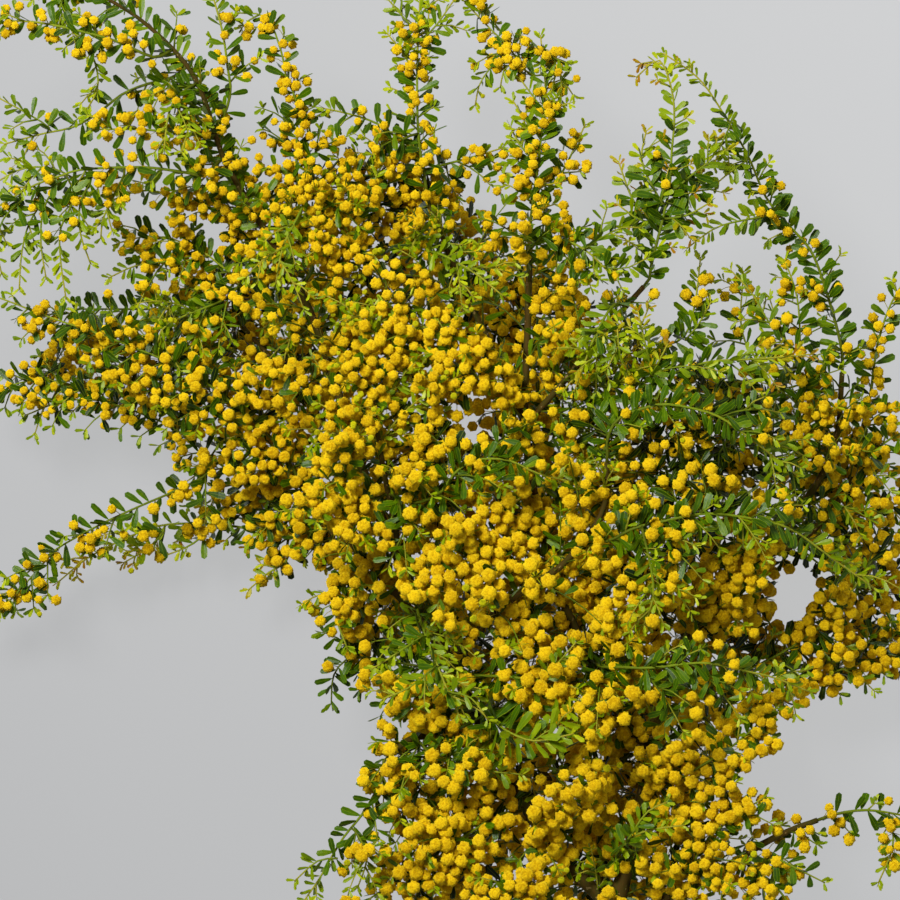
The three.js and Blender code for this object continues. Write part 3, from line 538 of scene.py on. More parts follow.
    spray("front_top", "middle", flowers=0.2, young=(0.4, 0.9), side_shoots=1.2, routes=[
        [(38, 84, 98), (46, 83, 104), (55, 78, 108), (64, 69, 108)],
        [(54, 80, 110), (60, 84, 108), (68, 88, 106), (76, 88, 104)],
        [(62, 72, 110), (70, 72, 110), (78, 76, 108)],
    ]),
    spray("front_heart", "middle", flowers=1.0, routes=[
        [(28, -34, 98), (16, -38, 104), (4, -46, 108), (-8, -54, 108)],
    ]),
    spray("front_crown", "middle", flowers=1.0, routes=[
        [(22, 22, 98), (12, 28, 106), (3, 38, 108), (-5, 52, 106)],
    ]),
    spray("lower_right_bend", "trunk", flowers=0.8, routes=[
        [(84, -135, 82), (93, -130, 88), (109, -120, 92), (118, -113, 94), (136, -97, 92)],
    ]),
    spray("lower_right_brown", "trunk", flowers=0.7, routes=[
        [(92, -99, 64), (112, -92, 56), (133, -82, 54), (148, -72, 56), (158, -62, 58), (168, -47, 58)],
        [(136, -90, 48), (147, -93, 44), (160, -88, 42), (180, -82, 40), (191, -79, 38)],
    ]),
    spray("lower_right_tip", "lower_right", flowers=0.5, young=(0.3, 1.0), routes=[
        [(157, -145, 76), (167, -144, 76), (180, -146, 72), (192, -149, 68)],
        [(177, -153, 80), (176, -161, 82), (171, -173, 80)],
    ]),
    spray("lower_right_light", "trunk", flowers=0.0, young=(1.0,), side_shoots=0.0, routes=[
        [(66, -162, 82), (71, -155, 92), (79, -151, 96), (93, -149, 96)],
        [(70, -156, 95), (78, -144, 97), (86, -140, 95)],
    ]),
    spray("lower_right_under", "lower_right", flowers=0.4, side_shoots=0.5, routes=[
        [(119, -166, 82), (128, -172, 84), (135, -181, 84), (140, -192, 82)],
        [(128, -162, 90), (137, -166, 94), (149, -172, 94)],
    ]),
    spray("bottom_right", "trunk", flowers=0.7, routes=[
        [(50, -192, 76), (40, -182, 84), (29, -176, 88), (14, -174, 88)],
    ]),
    spray("bottom_middle", "leader", flowers=0.9, routes=[
        [(42, -154, 76), (44, -146, 88), (50, -137, 96), (60, -126, 98)],
    ]),
    spray("lower_right_inner", "lower_right", flowers=0.9, side_shoots=0.8, routes=[
        [(96, -168, 80), (102, -156, 86), (112, -147, 88), (126, -138, 86)],
    ]),
    spray("lower_left_long", "lower_left", flowers=0.35, young=(0.5, 0.9), routes=[
        [
            (-27, -131, 78), (-34, -144, 80), (-42, -154, 80), (-47, -162, 80), (-52, -171, 78),
            (-61, -184, 76),
        ],
        [(-45, -163, 82), (-53, -164, 84), (-62, -172, 82)],
        [(-38, -152, 82), (-33, -162, 84), (-37, -175, 82)],
    ]),
    spray("lower_left_inner", "lower_left", flowers=0.7, routes=[
        [(-15, -128, 66), (-14, -144, 64), (-19, -163, 64), (-26, -174, 64), (-32, -187, 62)],
    ]),
    spray("lower_left_upper", "left", flowers=0.8, side_shoots=0.3, routes=[
        [(-36, -50, 60), (-44, -56, 64), (-46, -66, 66), (-41, -80, 68)],
    ]),
    spray("lower_left_dark", "leader", flowers=0.2, young=(0.05,), routes=[
        [(-8, -88, 46), (-26, -85, 42), (-40, -84, 42), (-47, -91, 42), (-48, -103, 42)],
    ]),
    spray("lower_left_heart", "leader", flowers=1.0, routes=[
        [(2, -106, 70), (-10, -104, 78), (-20, -98, 82), (-28, -88, 84)],
    ]),
    spray("bottom_left", "leader", flowers=0.9, routes=[
        [(20, -146, 70), (8, -153, 76), (-3, -161, 78), (-10, -173, 76)],
    ]),
    spray("back_left_spray", "back_left", flowers=0.5, rest=(-84, 64), routes=[
        [(-62, 34, 24), (-72, 46, 12), (-83, 57, 8), (-98, 66, 10), (-116, 74, 18)],
        [(-56, 46, 20), (-50, 62, 16), (-46, 80, 20)],
    ]),
    spray("back_right_spray", "back_right", flowers=0.5, rest=(126, 6), routes=[
        [(124, -36, 16), (130, -20, 9), (132, 0, 8), (130, 16, 9), (125, 36, 16)],
        [(136, -34, 14), (150, -46, 14), (166, -56, 20)],
    ]),
    spray("back_low_spray", "back_low", flowers=0.5, rest=(18, -150), routes=[
        [(26, -128, 18), (24, -142, 10), (22, -158, 9), (24, -176, 14)],
        [(14, -120, 16), (-4, -112, 14), (-20, -100, 18)],
    ]),
]

# What the numbered draws decide. The first seven are the same as in the solids' rule.
DRAWS = {
    "turn": 1, "bloom": 2, "leaf_lean": 3, "leaf_length": 4, "leaf_roll": 5, "head_lean": 6,
    "stalk_length": 7, "head_size": 8, "leaf_width": 9, "leaf_bend": 10, "leaf_tone": 11, "leaf_age": 12,
    "head_turn_a": 21, "head_turn_b": 22, "head_turn_c": 23, "head_tone": 24, "head_form": 25,
    "stalk_sag": 26, "head_count": 28, "bud": 29, "shoot_length": 30, "shoot_tilt": 31, "shoot_rise": 32,
    "twig_tone": 33, "shoot": 34, "second_shoot": 35, "shift": 36, "young_shoot": 37, "shoot_youth": 38,
    "gap_x": 41, "gap_y": 42, "gap_depth": 43, "gap_bend": 44, "crowded": 45,
}


def draw(number, organ, what):
    """A repeatable number between 0 and 1, for one organ of the plant with this number."""
    mask = 0xFFFFFFFF
    h = ((number * 0x9E3779B1) ^ (organ * 0x85EBCA77) ^ (DRAWS[what] * 0xC2B2AE3D)) & mask
    h = ((h ^ (h >> 15)) * 0x2C1B3C6D) & mask
    h = ((h ^ (h >> 12)) * 0x297A2D39) & mask
    return (h ^ (h >> 15)) / 4294967296.0


def between(limits, share):
    return limits[0] + (limits[1] - limits[0]) * share


def within(value, low=0.0, high=1.0):
    return min(max(value, low), high)


def unit(v):
    return v / max(math.sqrt(v[0] * v[0] + v[1] * v[1] + v[2] * v[2]), 1e-9)


def cross(a, b):
    return np.array([
        a[1] * b[2] - a[2] * b[1], a[2] * b[0] - a[0] * b[2], a[0] * b[1] - a[1] * b[0],
    ])


def outward_at(direction, turn):
    """The direction square to a stem at a turn round it: 0 is level, a quarter turn is up."""
    side = np.array([-direction[1], direction[0], 0.0])
    if abs(side[0]) + abs(side[1]) < 0.01:
        side = np.array([1.0, 0.0, 0.0])
    side = unit(side)
    return side * math.cos(turn) + cross(direction, side) * math.sin(turn)


class Route:
    """A smooth curve through points, with a radius that tapers along it."""

    def __init__(self, points, radii, fineness=6):
        p = np.array(points, float)
        p = np.vstack([2 * p[0] - p[1], p, 2 * p[-1] - p[-2]])
        t = np.arange(fineness)[:, None] / fineness
        parts = []
        for i in range(1, len(p) - 2):
            a, b, c, d = p[i - 1:i + 3]
            parts.append(0.5 * (2 * b + (c - a) * t + (2 * a - 5 * b + 4 * c - d) * t ** 2
                                + (3 * b - a - 3 * c + d) * t ** 3))
        self.corners = np.vstack(parts + [p[-2:-1]])
        steps = np.linalg.norm(np.diff(self.corners, axis=0), axis=1)
        self.lengths = np.concatenate([[0.0], np.cumsum(steps)])
        self.length = float(self.lengths[-1])
        self.radii = radii

    def point_at(self, s):
        return np.array([np.interp(s, self.lengths, self.corners[:, i]) for i in range(3)])

    def direction_at(self, s, reach=1.5):
        return unit(self.point_at(min(s + reach, self.length)) - self.point_at(max(s - reach, 0.0)))

    def radius_at(self, s):
        return between(self.radii, within(s / self.length))

    def nearest_to(self, target):
        i = int(np.argmin(((self.corners - np.array(target, float)) ** 2).sum(axis=1)))
        return float(self.lengths[i])

    def distance_to(self, target):
        return np.linalg.norm(self.point_at(self.nearest_to(target)) - target)


class Form:
    """A shape that is modelled once and copied: its points, its faces and two texture numbers a point."""

    def __init__(self, piece, texture):
        self.points = np.array([vertex.co[:] for vertex in piece.data.vertices])
        self.faces = [tuple(polygon.vertices) for polygon in piece.data.polygons]
        self.texture = texture(self.points)
        bpy.data.objects.remove(piece)


def start_piece(add, **settings):
    bpy.ops.object.select_all(action="DESELECT")
    add(**settings)
    return bpy.context.object


def start_shaping():
    bpy.ops.object.mode_set(mode="EDIT")
    bpy.ops.mesh.select_all(action="SELECT")


def ball_texture(p):
    """How far out a point of a ball is, and how high."""
    size = np.linalg.norm(p, axis=1)
    return np.stack([np.clip((size - 0.42) / 0.1, 0, 1), p[:, 2] + 0.5], axis=1)


def model_head(seed, floret):
    """A soft round ball one unit wide: each of its twenty faces is swollen to a pointed floret."""
    head = start_piece(bpy.ops.mesh.primitive_ico_sphere_add, subdivisions=1, radius=0.46)
    start_shaping()
    bpy.ops.mesh.poke(offset=floret, use_relative_offset=False)
    bpy.ops.mesh.select_all(action="SELECT")
    bpy.ops.transform.vertex_random(offset=0.035, uniform=0.0, normal=0.5, seed=seed)
    bpy.ops.object.mode_set(mode="OBJECT")
    return Form(head, ball_texture)


def model_plain_head(seed):
    """A plainer ball for the heads that are deep in the sprig."""
    head = start_piece(bpy.ops.mesh.primitive_uv_sphere_add, segments=6, ring_count=4, radius=0.5)
    start_shaping()
    bpy.ops.transform.vertex_random(offset=0.04, uniform=0.0, normal=0.6, seed=seed)
    bpy.ops.object.mode_set(mode="OBJECT")
    return Form(head, ball_texture)


def model_bud():
    bud = start_piece(bpy.ops.mesh.primitive_ico_sphere_add, subdivisions=1, radius=0.5)
    return Form(bud, ball_texture)


def leaf_half_width(along):
    return 0.5 * np.interp(along, *LEAF_OUTLINE)


def leaf_texture(p):
    """Across a leaf from edge to edge, and along it."""
    width = np.maximum(leaf_half_width(p[:, 0]), 1e-3)
    return np.stack([0.5 + 0.5 * np.clip(p[:, 1] / width, -1, 1), p[:, 0]], axis=1)


def model_leaf(fold, arch, rings=5):
    """A leaf one unit long and wide: oblong, with a narrow foot, a blunt tip and a raised midrib."""
    leaf = start_piece(bpy.ops.mesh.primitive_uv_sphere_add, segments=4, ring_count=rings, radius=0.5)
    for vertex in leaf.data.vertices:
        along = 0.5 + vertex.co.z + 0.12 * math.cos(math.pi * vertex.co.z)
        spread = max(math.hypot(vertex.co.x, vertex.co.y), 1e-6)
        across = vertex.co.x / spread * float(leaf_half_width(along))
        thickness = vertex.co.y / spread * math.sin(math.pi * within(along, 0.02, 0.98)) ** 0.4 * 0.5
        height = thickness * LEAF_THICKNESS / LEAF_WIDTH + abs(across) * fold - arch * (along - 0.3) ** 2
        vertex.co = (along, across, height)
    leaf.data.update()
    return Form(leaf, leaf_texture)


def rod_texture(p):
    """Round a rod, and along it."""
    return np.stack([np.arctan2(p[:, 1], p[:, 0]) / (2 * math.pi) + 0.5, p[:, 2]], axis=1)


def model_rod(sides, rings):
    """A closed rod one unit long and one in radius, with rings along it where it can bend."""
    rod = start_piece(bpy.ops.mesh.primitive_circle_add, vertices=sides, radius=1.0, fill_type="NGON")
    start_shaping()
    for _ in range(rings):
        bpy.ops.mesh.extrude_region_move(TRANSFORM_OT_translate={"value": (0, 0, 1 / rings)})
    bpy.ops.mesh.select_all(action="SELECT")
    bpy.ops.mesh.normals_make_consistent(inside=False)
    bpy.ops.object.mode_set(mode="OBJECT")
    return Form(rod, rod_texture)


RODS = {}


def rod_form(sides, rings):
    """The rod with these sides and rings, modelled the first time that it is asked for."""
    if (sides, rings) not in RODS:
        RODS[(sides, rings)] = model_rod(sides, rings)
    return RODS[(sides, rings)]


def bend_rod(form, route, rings, swelling=0.0):
    """The points of a rod, bent along a route."""
    s = route.length * np.arange(rings + 1) / rings
    centres = np.array([route.point_at(each) for each in s])
    ways = [route.direction_at(each) for each in s]
    swells = [1 + swelling * math.sin(each * 1.7) * math.sin(each * 0.31) for each in s]
    radii = np.array([route.radius_at(each) * swell for each, swell in zip(s, swells)])
    sides = np.array([outward_at(way, 0) for way in ways])
    overs = np.array([outward_at(way, math.pi / 2) for way in ways])
    ring = np.rint(form.points[:, 2] * rings).astype(int)
    reach = form.points[:, :2] * radii[ring][:, None]
    return centres[ring] + sides[ring] * reach[:, :1] + overs[ring] * reach[:, 1:2]


TWIG, LEAF, HEAD = 0, 1, 2


class Growth:
    """What has grown in one piece: its points and faces, and the values that the materials read."""

    def __init__(self):
        self.points, self.faces, self.kinds = [], [], []
        self.textures, self.tones, self.ages = [], [], []
        self.count = 0

    def add(self, points, form, kind, tone, age):
        start = self.count
        self.points.append(points)
        self.faces.extend([tuple([i + start for i in face]) for face in form.faces])
        self.kinds.extend([kind] * len(form.faces))
        self.textures.append(form.texture)
        self.tones.append(np.full(len(points), tone))
        self.ages.append(age if isinstance(age, np.ndarray) else np.full(len(points), age))
        self.count += len(points)

    def add_stem(self, route, sides, step, tone, ages):
        """A round stem along a route. ages are those of its foot and its tip."""
        rings = max(1, round(route.length / step))
        form = rod_form(sides, rings)
        self.add(bend_rod(form, route, rings), form, TWIG, tone, between(ages, form.points[:, 2]))

    def finish(self, name, slot, replaced=None):
        """Makes the piece, and says what it rides on and which solid it stands for."""
        mesh = bpy.data.meshes.new(name)
        places = (np.vstack(self.points) - MIDDLE) * MM
        mesh.from_pydata(places.tolist(), [], self.faces)
        for material in (GREEN, LEAVES, STAMENS):
            mesh.materials.append(material)
        kinds = np.array(self.kinds, np.int32)
        mesh.polygons.foreach_set("material_index", kinds)
        mesh.polygons.foreach_set("use_smooth", kinds != LEAF)
        corners = np.zeros(len(mesh.loops), np.int32)
        mesh.loops.foreach_get("vertex_index", corners)
        texture = np.vstack(self.textures)[corners]
        mesh.uv_layers.new(name="along_and_across").data.foreach_set("uv", texture.ravel())
        # A leaf's age values carry its painted shade too, and a head's tone values carry its painted shade
        for word, values in (("tone", self.tones), ("age", self.ages)):
            attribute = mesh.attributes.new(word, "FLOAT", "POINT")
            attribute.data.foreach_set("value", np.concatenate(values).astype(np.float32))
        mesh.update()
        piece = bpy.data.objects.new(name, mesh)
        bpy.context.scene.collection.objects.link(piece)
        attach(piece, "root")
        if replaced:
            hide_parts(replaced)


class Room:
    """Remembers where the flower heads are, so that heads touch but don't sink far into each other."""

    def __init__(self, cell=8.0):
        self.cell = cell
        self.heads = {}

    def key(self, centre):
        return tuple(int(math.floor(c / self.cell)) for c in centre)

    def near(self, centre):
        x, y, z = self.key(centre)
        for i in (x - 1, x, x + 1):
            for j in (y - 1, y, y + 1):
                for k in (z - 1, z, z + 1):
                    yield from self.heads.get((i, j, k), ())

    def free(self, centre, radius, share):
        for other, size in self.near(centre):
            gap = other - centre
            if gap.dot(gap) < (share * (size + radius)) ** 2:
                return False
        return True

    def take(self, centre, radius):
        self.heads.setdefault(self.key(centre), []).append((centre, radius))


class Cover:
    """Counts the layers that cover each place, seen from above, in a grid of small cells."""

    def __init__(self, half=240, cell=0.5):
        self.half, self.cell = half, cell
        self.layers = np.zeros((int(2 * half / cell), int(2 * half / cell)), np.int32)
        steps = np.linspace(-1, 1, 15)
        self.disc = np.array([(a, b) for a in steps for b in steps if a * a + b * b <= 1])
        self.leaf_along = np.repeat(np.arange(0.1, 0.96, 0.05), 5)
        self.leaf_aside = np.tile([-0.8, -0.4, 0.0, 0.4, 0.8], len(self.leaf_along) // 5)

    def mark(self, points):
        i, j = ((points[:, :2] + self.half) / self.cell).astype(int).clip(0, len(self.layers) - 1).T
        self.layers[i, j] += 1

    def mark_head(self, centre, diameter):
        self.mark(centre[:2] + self.disc * diameter * 0.48)

    def mark_leaf(self, foot, direction, across, length, width):
        aside = self.leaf_aside * leaf_half_width(self.leaf_along) * width
        self.mark(foot + np.outer(self.leaf_along * length, direction) + np.outer(aside, across))

    def near(self, x, y, reach=1.25):
        i, j = int((x + self.half) / self.cell), int((y + self.half) / self.cell)
        n = int(reach / self.cell + 0.5)
        return self.layers[i - n:i + n + 1, j - n:j + n + 1]

    def share_at(self, x, y):
        return (self.near(x, y) > 0).mean()

    def crowded(self, point, chance):
        """Whether a place has so many layers already that another one there would stay in their shade."""
        layers = self.near(point[0], point[1], 2.5).mean()
        return chance < (layers - CROWDED[0]) / (CROWDED[1] - CROWDED[0])


class Windows:
    """Remembers the leafy routes, so that the heads of other sprays don't hide them from above."""

    def __init__(self, cell=6.0):
        self.cell = cell
        self.spots = {}

    def key(self, spot):
        return math.floor(spot[0] / self.cell), math.floor(spot[1] / self.cell)

    def keep(self, route, number):
        for s in np.arange(0.0, route.length, 2.5):
            spot = route.point_at(s)
            self.spots.setdefault(self.key(spot), []).append((spot, number))

    def hidden_by(self, centre, number):
        x, y = self.key(centre)
        for i in (x - 1, x, x + 1):
            for j in (y - 1, y, y + 1):
                for spot, owner in self.spots.get((i, j), ()):
                    near = math.hypot(spot[0] - centre[0], spot[1] - centre[1]) < WINDOW
                    if owner != number and near and centre[2] > spot[2] - 2:
                        return True
        return False


ROOM = Room()
COVER = Cover()
WINDOWS = Windows()


def depth_inside(outline, x, y):
    """How far a place is inside an outline, seen from above. It is less than 0 outside."""
    inside, nearest = False, 1e9
    for (ax, ay), (bx, by) in zip(outline, outline[1:] + outline[:1]):
        if (ay > y) != (by > y) and x < ax + (bx - ax) * (y - ay) / (by - ay):
            inside = not inside
        dx, dy = bx - ax, by - ay
        t = within(((x - ax) * dx + (y - ay) * dy) / (dx * dx + dy * dy))
        nearest = min(nearest, math.hypot(x - ax - t * dx, y - ay - t * dy))
    return nearest if inside else -nearest


def fullness(point):
    """0 well outside the full outline, a half on it, and 1 well inside."""
    return within(0.5 + depth_inside(FULL_OUTLINE, point[0], point[1]) / EDGE_SOFTNESS)


def deepness(point, full):
    """0 for what is high or at the edge of the sprig, up to 1 for what is low in the middle."""
    return within((SHADE_FROM - point[2]) / SHADE_SOFTNESS) * full


def in_open_place(x, y, margin):
    return any(depth_inside(outline, x, y) > -margin for outline in OPEN_PLACES)


def in_leafy_place(point):
    return any(depth_inside(outline, point[0], point[1]) > 0 for outline in LEAFY_PLACES)


def in_reach(point, margin):
    place = point - MIDDLE
    return (abs(place[0]) < REACH[0] - margin and abs(place[1]) < REACH[1] - margin
            and LOWEST + margin < point[2] < HIGHEST - margin)


def size_by_place(point):
    away = math.hypot(point[0] - LARGEST_AT[0], point[1] - LARGEST_AT[1])
    return between(SIZES_BY_PLACE, within(away / SMALLEST_FROM))


def random_turn(a, b, c):
    """A turn in space as a matrix, from three numbers between 0 and 1."""
    x, y = math.sqrt(1 - a) * math.sin(2 * math.pi * b), math.sqrt(1 - a) * math.cos(2 * math.pi * b)
    z, w = math.sqrt(a) * math.sin(2 * math.pi * c), math.sqrt(a) * math.cos(2 * math.pi * c)
    return np.array([
        [1 - 2 * (y * y + z * z), 2 * (x * y - z * w), 2 * (x * z + y * w)],
        [2 * (x * y + z * w), 1 - 2 * (x * x + z * z), 2 * (y * z - x * w)],
        [2 * (x * z - y * w), 2 * (y * z + x * w), 1 - 2 * (x * x + y * y)],
    ])


def youth(share, young):
    """0 on the old part of a twig, up to 1 at the tip of its young part."""
    return within((share - 1 + young) / max(young, 0.01)) * min(young * 3, 1.0)


class Plant:
    """What grows into one piece by one rule: its number, flowers, and leaves' age, painted shade and size."""

    def __init__(self, growth, number, flowers, tip_age=TIP_AGE, leaf_size=1.0, side_shoots=1.0, shade=0.0):
        self.growth = growth
        self.number = number
        self.flowers = flowers
        self.tip_age = tip_age
        self.leaf_size = leaf_size
        self.side_shoots = side_shoots
        self.shade = shade

    def draw(self, organ, what):
        return draw(self.number, organ, what)

    def leaf_age(self, youth_here, deep, organ):
        """What a leaf's colour goes by: from dark and old, below 0.3, to pale and young, less its painted
        shade.
        """
        spread = AGE_SPREAD * (self.draw(organ, "leaf_age") - 0.5)
        return between((OLD_AGE, self.tip_age), youth_here) + spread - PAINTED_LEAF_SHADE * max(deep, self.shade)

    def bloom_at(self, point):
        leafy = self.flowers < FLOWERY_SPRAY and in_leafy_place(point)
        return self.flowers * (LEAFY_BLOOM if leafy else 1.0)

    def set_head(self, foot, centre, diameter, organ, bud, deep):
        """One head with its stalk."""
        ROOM.take(centre, diameter / 2)
        forms = BUD_FORMS if bud else PLAIN_HEAD_FORMS if deep > PLAIN_FROM else HEAD_FORMS
        form = forms[int(self.draw(organ, "head_form") * len(forms))]
        turns = [self.draw(organ, what) for what in ("head_turn_a", "head_turn_b", "head_turn_c")]
        points = centre + form.points @ random_turn(*turns).T * diameter
        points[:, 2] = np.maximum(points[:, 2], 0.0)
        COVER.mark_head(centre, diameter)
        # Its tone is random, less painted shade where the head lies deep in the sprig
        self.growth.add(points, form, HEAD, self.draw(organ, "head_tone") - 0.5 * deep, 1.0 if bud else 0.0)
        sag = np.array(STALK_SAG) * (self.draw(organ, "stalk_sag") + 0.3)
        stalk = Route([foot, (foot + centre) / 2 - sag, centre], STALK_RADII, 2)
        step = PLAIN_STALK_STEP if deep > PLAIN_FROM else STALK_STEP
        self.growth.add_stem(stalk, 3, step, 0.5, (1.0, 1.0))

    def grow_head(self, foot, stem, turn, organ, bud, deep):
        """A head beside its axil, at the first free place."""
        size = size_by_place(foot)
        lean = between(HEAD_LEANS, self.draw(organ, "head_lean"))
        reach = STALK_LENGTH * between(STALK_SCALES, self.draw(organ, "stalk_length")) * size
        sizes = BUD_SIZES if bud else OPEN_SIZES
        diameter = HEAD_DIAMETER * size * between(sizes, self.draw(organ, "head_size"))
        for attempt in range(HEAD_TRIES):
            outward = outward_at(stem, turn + attempt * HEAD_TRY_TURN)
            rise = np.array([0.0, 0.0, HEAD_RISE])
            direction = unit(stem * math.cos(lean) + outward * math.sin(lean) + rise)
            centre = foot + direction * reach * (1 + 0.08 * attempt)
            if (in_reach(centre, diameter / 2) and ROOM.free(centre, diameter / 2, HEAD_TOUCH)
                    and not WINDOWS.hidden_by(centre, self.number)):
                self.set_head(foot, centre, diameter, organ, bud, deep)
                return

    def grow_leaf(self, foot, stem, turn, organ, youth_here, age, size, forms):
        """A leaf beside its axil, clear of the flower heads where it can be."""
        size = size * self.leaf_size
        leans = [between((old, young), youth_here) for old, young in zip(OLD_LEANS, YOUNG_LEANS)]
        lean = between(leans, self.draw(organ, "leaf_lean"))
        length = LEAF_LENGTH * size * between(LEAF_SCALES, self.draw(organ, "leaf_length"))
        width = LEAF_WIDTH * size * between(LEAF_WIDTH_SCALES, self.draw(organ, "leaf_width"))
        roll = between(LEAF_ROLLS, self.draw(organ, "leaf_roll"))
        for attempt in range(LEAF_TRIES):
            outward = outward_at(stem, turn + attempt * LEAF_TRY_TURN)
            outward = unit(outward * np.array([1.0, 1.0, COMBED]))
            direction = unit(stem * math.cos(lean) + outward * math.sin(lean))
            spots = [foot + direction * length * share for share in (0.5, 0.95)]
            clear = all(ROOM.free(spot, LEAF_CLEARANCE, LEAF_TOUCH) for spot in spots)
            if in_reach(foot + direction * length, 0.8) and (clear or attempt == LEAF_TRIES - 1):
                break
        else:
            return
        across = unit(stem - direction * stem.dot(direction))
        across = across * math.cos(roll) + cross(direction, across) * math.sin(roll)
        flat = cross(direction, across)
        if flat[2] < 0:
            across, flat = -across, -flat
        form = forms[int(self.draw(organ, "leaf_bend") * len(forms))]
        p = form.points * np.array([length, width, width])
        points = foot + np.outer(p[:, 0], direction) + np.outer(p[:, 1], across) + np.outer(p[:, 2], flat)
        points[:, 2] += max(LOWEST_LEAF - points[:, 2].min(), 0.0)
        COVER.mark_leaf(foot, direction, across, length, width)
        self.growth.add(points, form, LEAF, self.draw(organ, "leaf_tone"), age)

    def grow_tuft(self, route, first_organ, youth_here, deep):
        """The small leaves that close the tip of a twig."""
        foot, stem = route.point_at(route.length), route.direction_at(route.length)
        for i in range(TUFT):
            organ = first_organ + TUFT_LEAF + i
            age = self.leaf_age(within(youth_here + 0.25), deep, organ)
            size = between(TUFT_SIZES, youth_here)
            place, turn = foot - stem * 0.5 * i, i * GOLDEN_ANGLE
            self.grow_leaf(place, stem, turn, organ, 1.0, age, size, SMALL_LEAF_FORMS)

    def grow_shoot(self, foot, stem, turn, length, organ, youth_here, young, order):
        """A side shoot that hangs towards the cut end and keeps clear of the open places."""
        outward = outward_at(stem, turn)
        way = unit(stem * math.cos(SHOOT_LEAN) + outward * math.sin(SHOOT_LEAN))
        droop = np.array([0.0, -SHOOT_DROOP, (self.draw(organ, "shoot_rise") - 0.5) * 0.6])
        points = [foot]
        for _ in range(4):
            points.append(points[-1] + way * length / 4)
            way = unit(way + droop * 0.4)
        while len(points) > 2 and (not in_reach(points[-1], 6) or in_open_place(*points[-1][:2], 4)):
            points.pop()
        if len(points) < 3:
            return
        young_share = YOUNG_SHOOTS[1 if in_leafy_place(foot) else 0]
        if youth_here < 0.5 and self.draw(organ, "young_shoot") < young_share:
            youth_here = between((0.45, 0.9), self.draw(organ, "shoot_youth"))
        self.grow_twig(Route(points, SHOOT_RADII, 3), organ * 50 + 7000, youth_here, young, order)

    def grow_side_shoots(self, route, k, s, organ, foot, stem, full, youth_here, young, order):
        """At an axil of a spray's own twig a shoot, and at one of a long shoot a shorter one."""
        along = s / route.length
        if order == 0 and k % 2 == 0 and along < SHOOTS_UP_TO:
            room = (0.5 + full) * self.side_shoots * (LEAFY_SHOOTS if in_leafy_place(foot) else 1.0)
            if self.draw(organ, "shoot") < room:
                turn = math.pi * (k // 2 % 2) + (self.draw(organ, "shoot_tilt") - 0.5) * 1.6
                length = between(SHOOT_LENGTHS, self.draw(organ, "shoot_length"))
                length = length * (1.15 - 0.5 * along) * (0.5 + 0.5 * full)
                self.grow_shoot(foot, stem, turn, length, organ, youth_here, young, 1)
        if order == 1 and k % 3 == 1 and along < BRANCHED_UP_TO and route.length > BRANCHED_FROM:
            if self.draw(organ, "second_shoot") < full:
                turn = math.pi * (k % 2) + 0.6
                self.grow_shoot(foot, stem, turn, route.length * BRANCH_LENGTH, organ, youth_here, young, 2)

    def grow_twig(self, route, first_organ, youth_at_foot, young, order=0):
        """A twig with leaves, flower heads and side shoots at its axils.

        order is 0 for a spray's own twigs, 1 for shoots on them or on a bough, and 2 for the shoots on those
        and for the ones that close gaps.
        """
        own = order == 0
        sides, step, gap = (6, 4.0, AXIL_GAP) if own else (4, 6.0, SHOOT_AXIL_GAP)
        youth_at_tip = within(youth_at_foot + youth(1.0, young))
        tone = 0.2 + 0.6 * self.draw(first_organ, "twig_tone")
        self.growth.add_stem(route, sides, step, tone, (youth_at_foot, youth_at_tip))
        count = int((route.length - 2) / gap)
        deep = 0.0
        for k in range(1, count + 1):
            on_solid = own and k % 2 == 0
            organ = first_organ + (k // 2 if on_solid else AXIL_BETWEEN + k)
            s = route.length - 0.5 if k == count else k * gap
            along = s / route.length
            foot, stem = route.point_at(s), route.direction_at(s)
            full = fullness(foot)
            deep = deepness(foot, full)
            if COVER.crowded(foot, self.draw(organ, "crowded")):
                continue
            turn = (k / 2 if own else k) * GOLDEN_ANGLE + self.draw(organ, "turn") - 0.5
            if own and not on_solid:
                turn += math.pi
            youth_here = within(youth_at_foot + youth(along, young) * (1.0 if own else 0.5))
            old = youth_here < 0.5
            bloom = self.bloom_at(foot) * BLOOM_SHARES[0 if old else 1]
            if youth_here < BLOOM_UP_TO and self.draw(organ, "bloom") < bloom:
                for i in range(1 + int(self.draw(organ, "head_count") * between(HEADS_TOGETHER, full))):
                    bud = self.draw(organ, "bud") < youth_here * 1.2 - 0.3
                    head_turn = turn + HEAD_TURN + i * NEXT_HEAD_TURN
                    self.grow_head(foot, stem, head_turn, organ + i * NEXT_HEAD, bud, deep)
            # The leaf's colour: its age, darkened by painted shade where it lies deep or on a shaded plant
            age = self.leaf_age(youth_here, deep, organ)
            size = between((1.0, YOUNG_SIZE), youth_here) * (1.0 if own else SHOOT_LEAF_SIZE)
            size = size * (1.0 - SMALLER_AT_TIP * along ** 4)
            forms = LEAF_FORMS if own and foot[2] >= FINE_LEAF_FROM else PLAIN_LEAF_FORMS
            if deep > 0.5 or not old:
                forms = SMALL_LEAF_FORMS
            self.grow_leaf(foot, stem, turn, organ, youth_here, age, size, forms)
            if not old or (own and self.flowers <= LEAFY_SPRAY):
                halfway = route.point_at(max(s - gap / 2, 0.0))
                forms = PLAIN_LEAF_FORMS if old else SMALL_LEAF_FORMS
                opposite, organ_here = turn + math.pi, organ + LEAF_BETWEEN
                self.grow_leaf(halfway, stem, opposite, organ_here, youth_here, age + 0.04, size, forms)
            self.grow_side_shoots(route, k, s, organ, foot, stem, full, youth_here, young, order)
        self.grow_tuft(route, first_organ, youth_at_tip, deep)


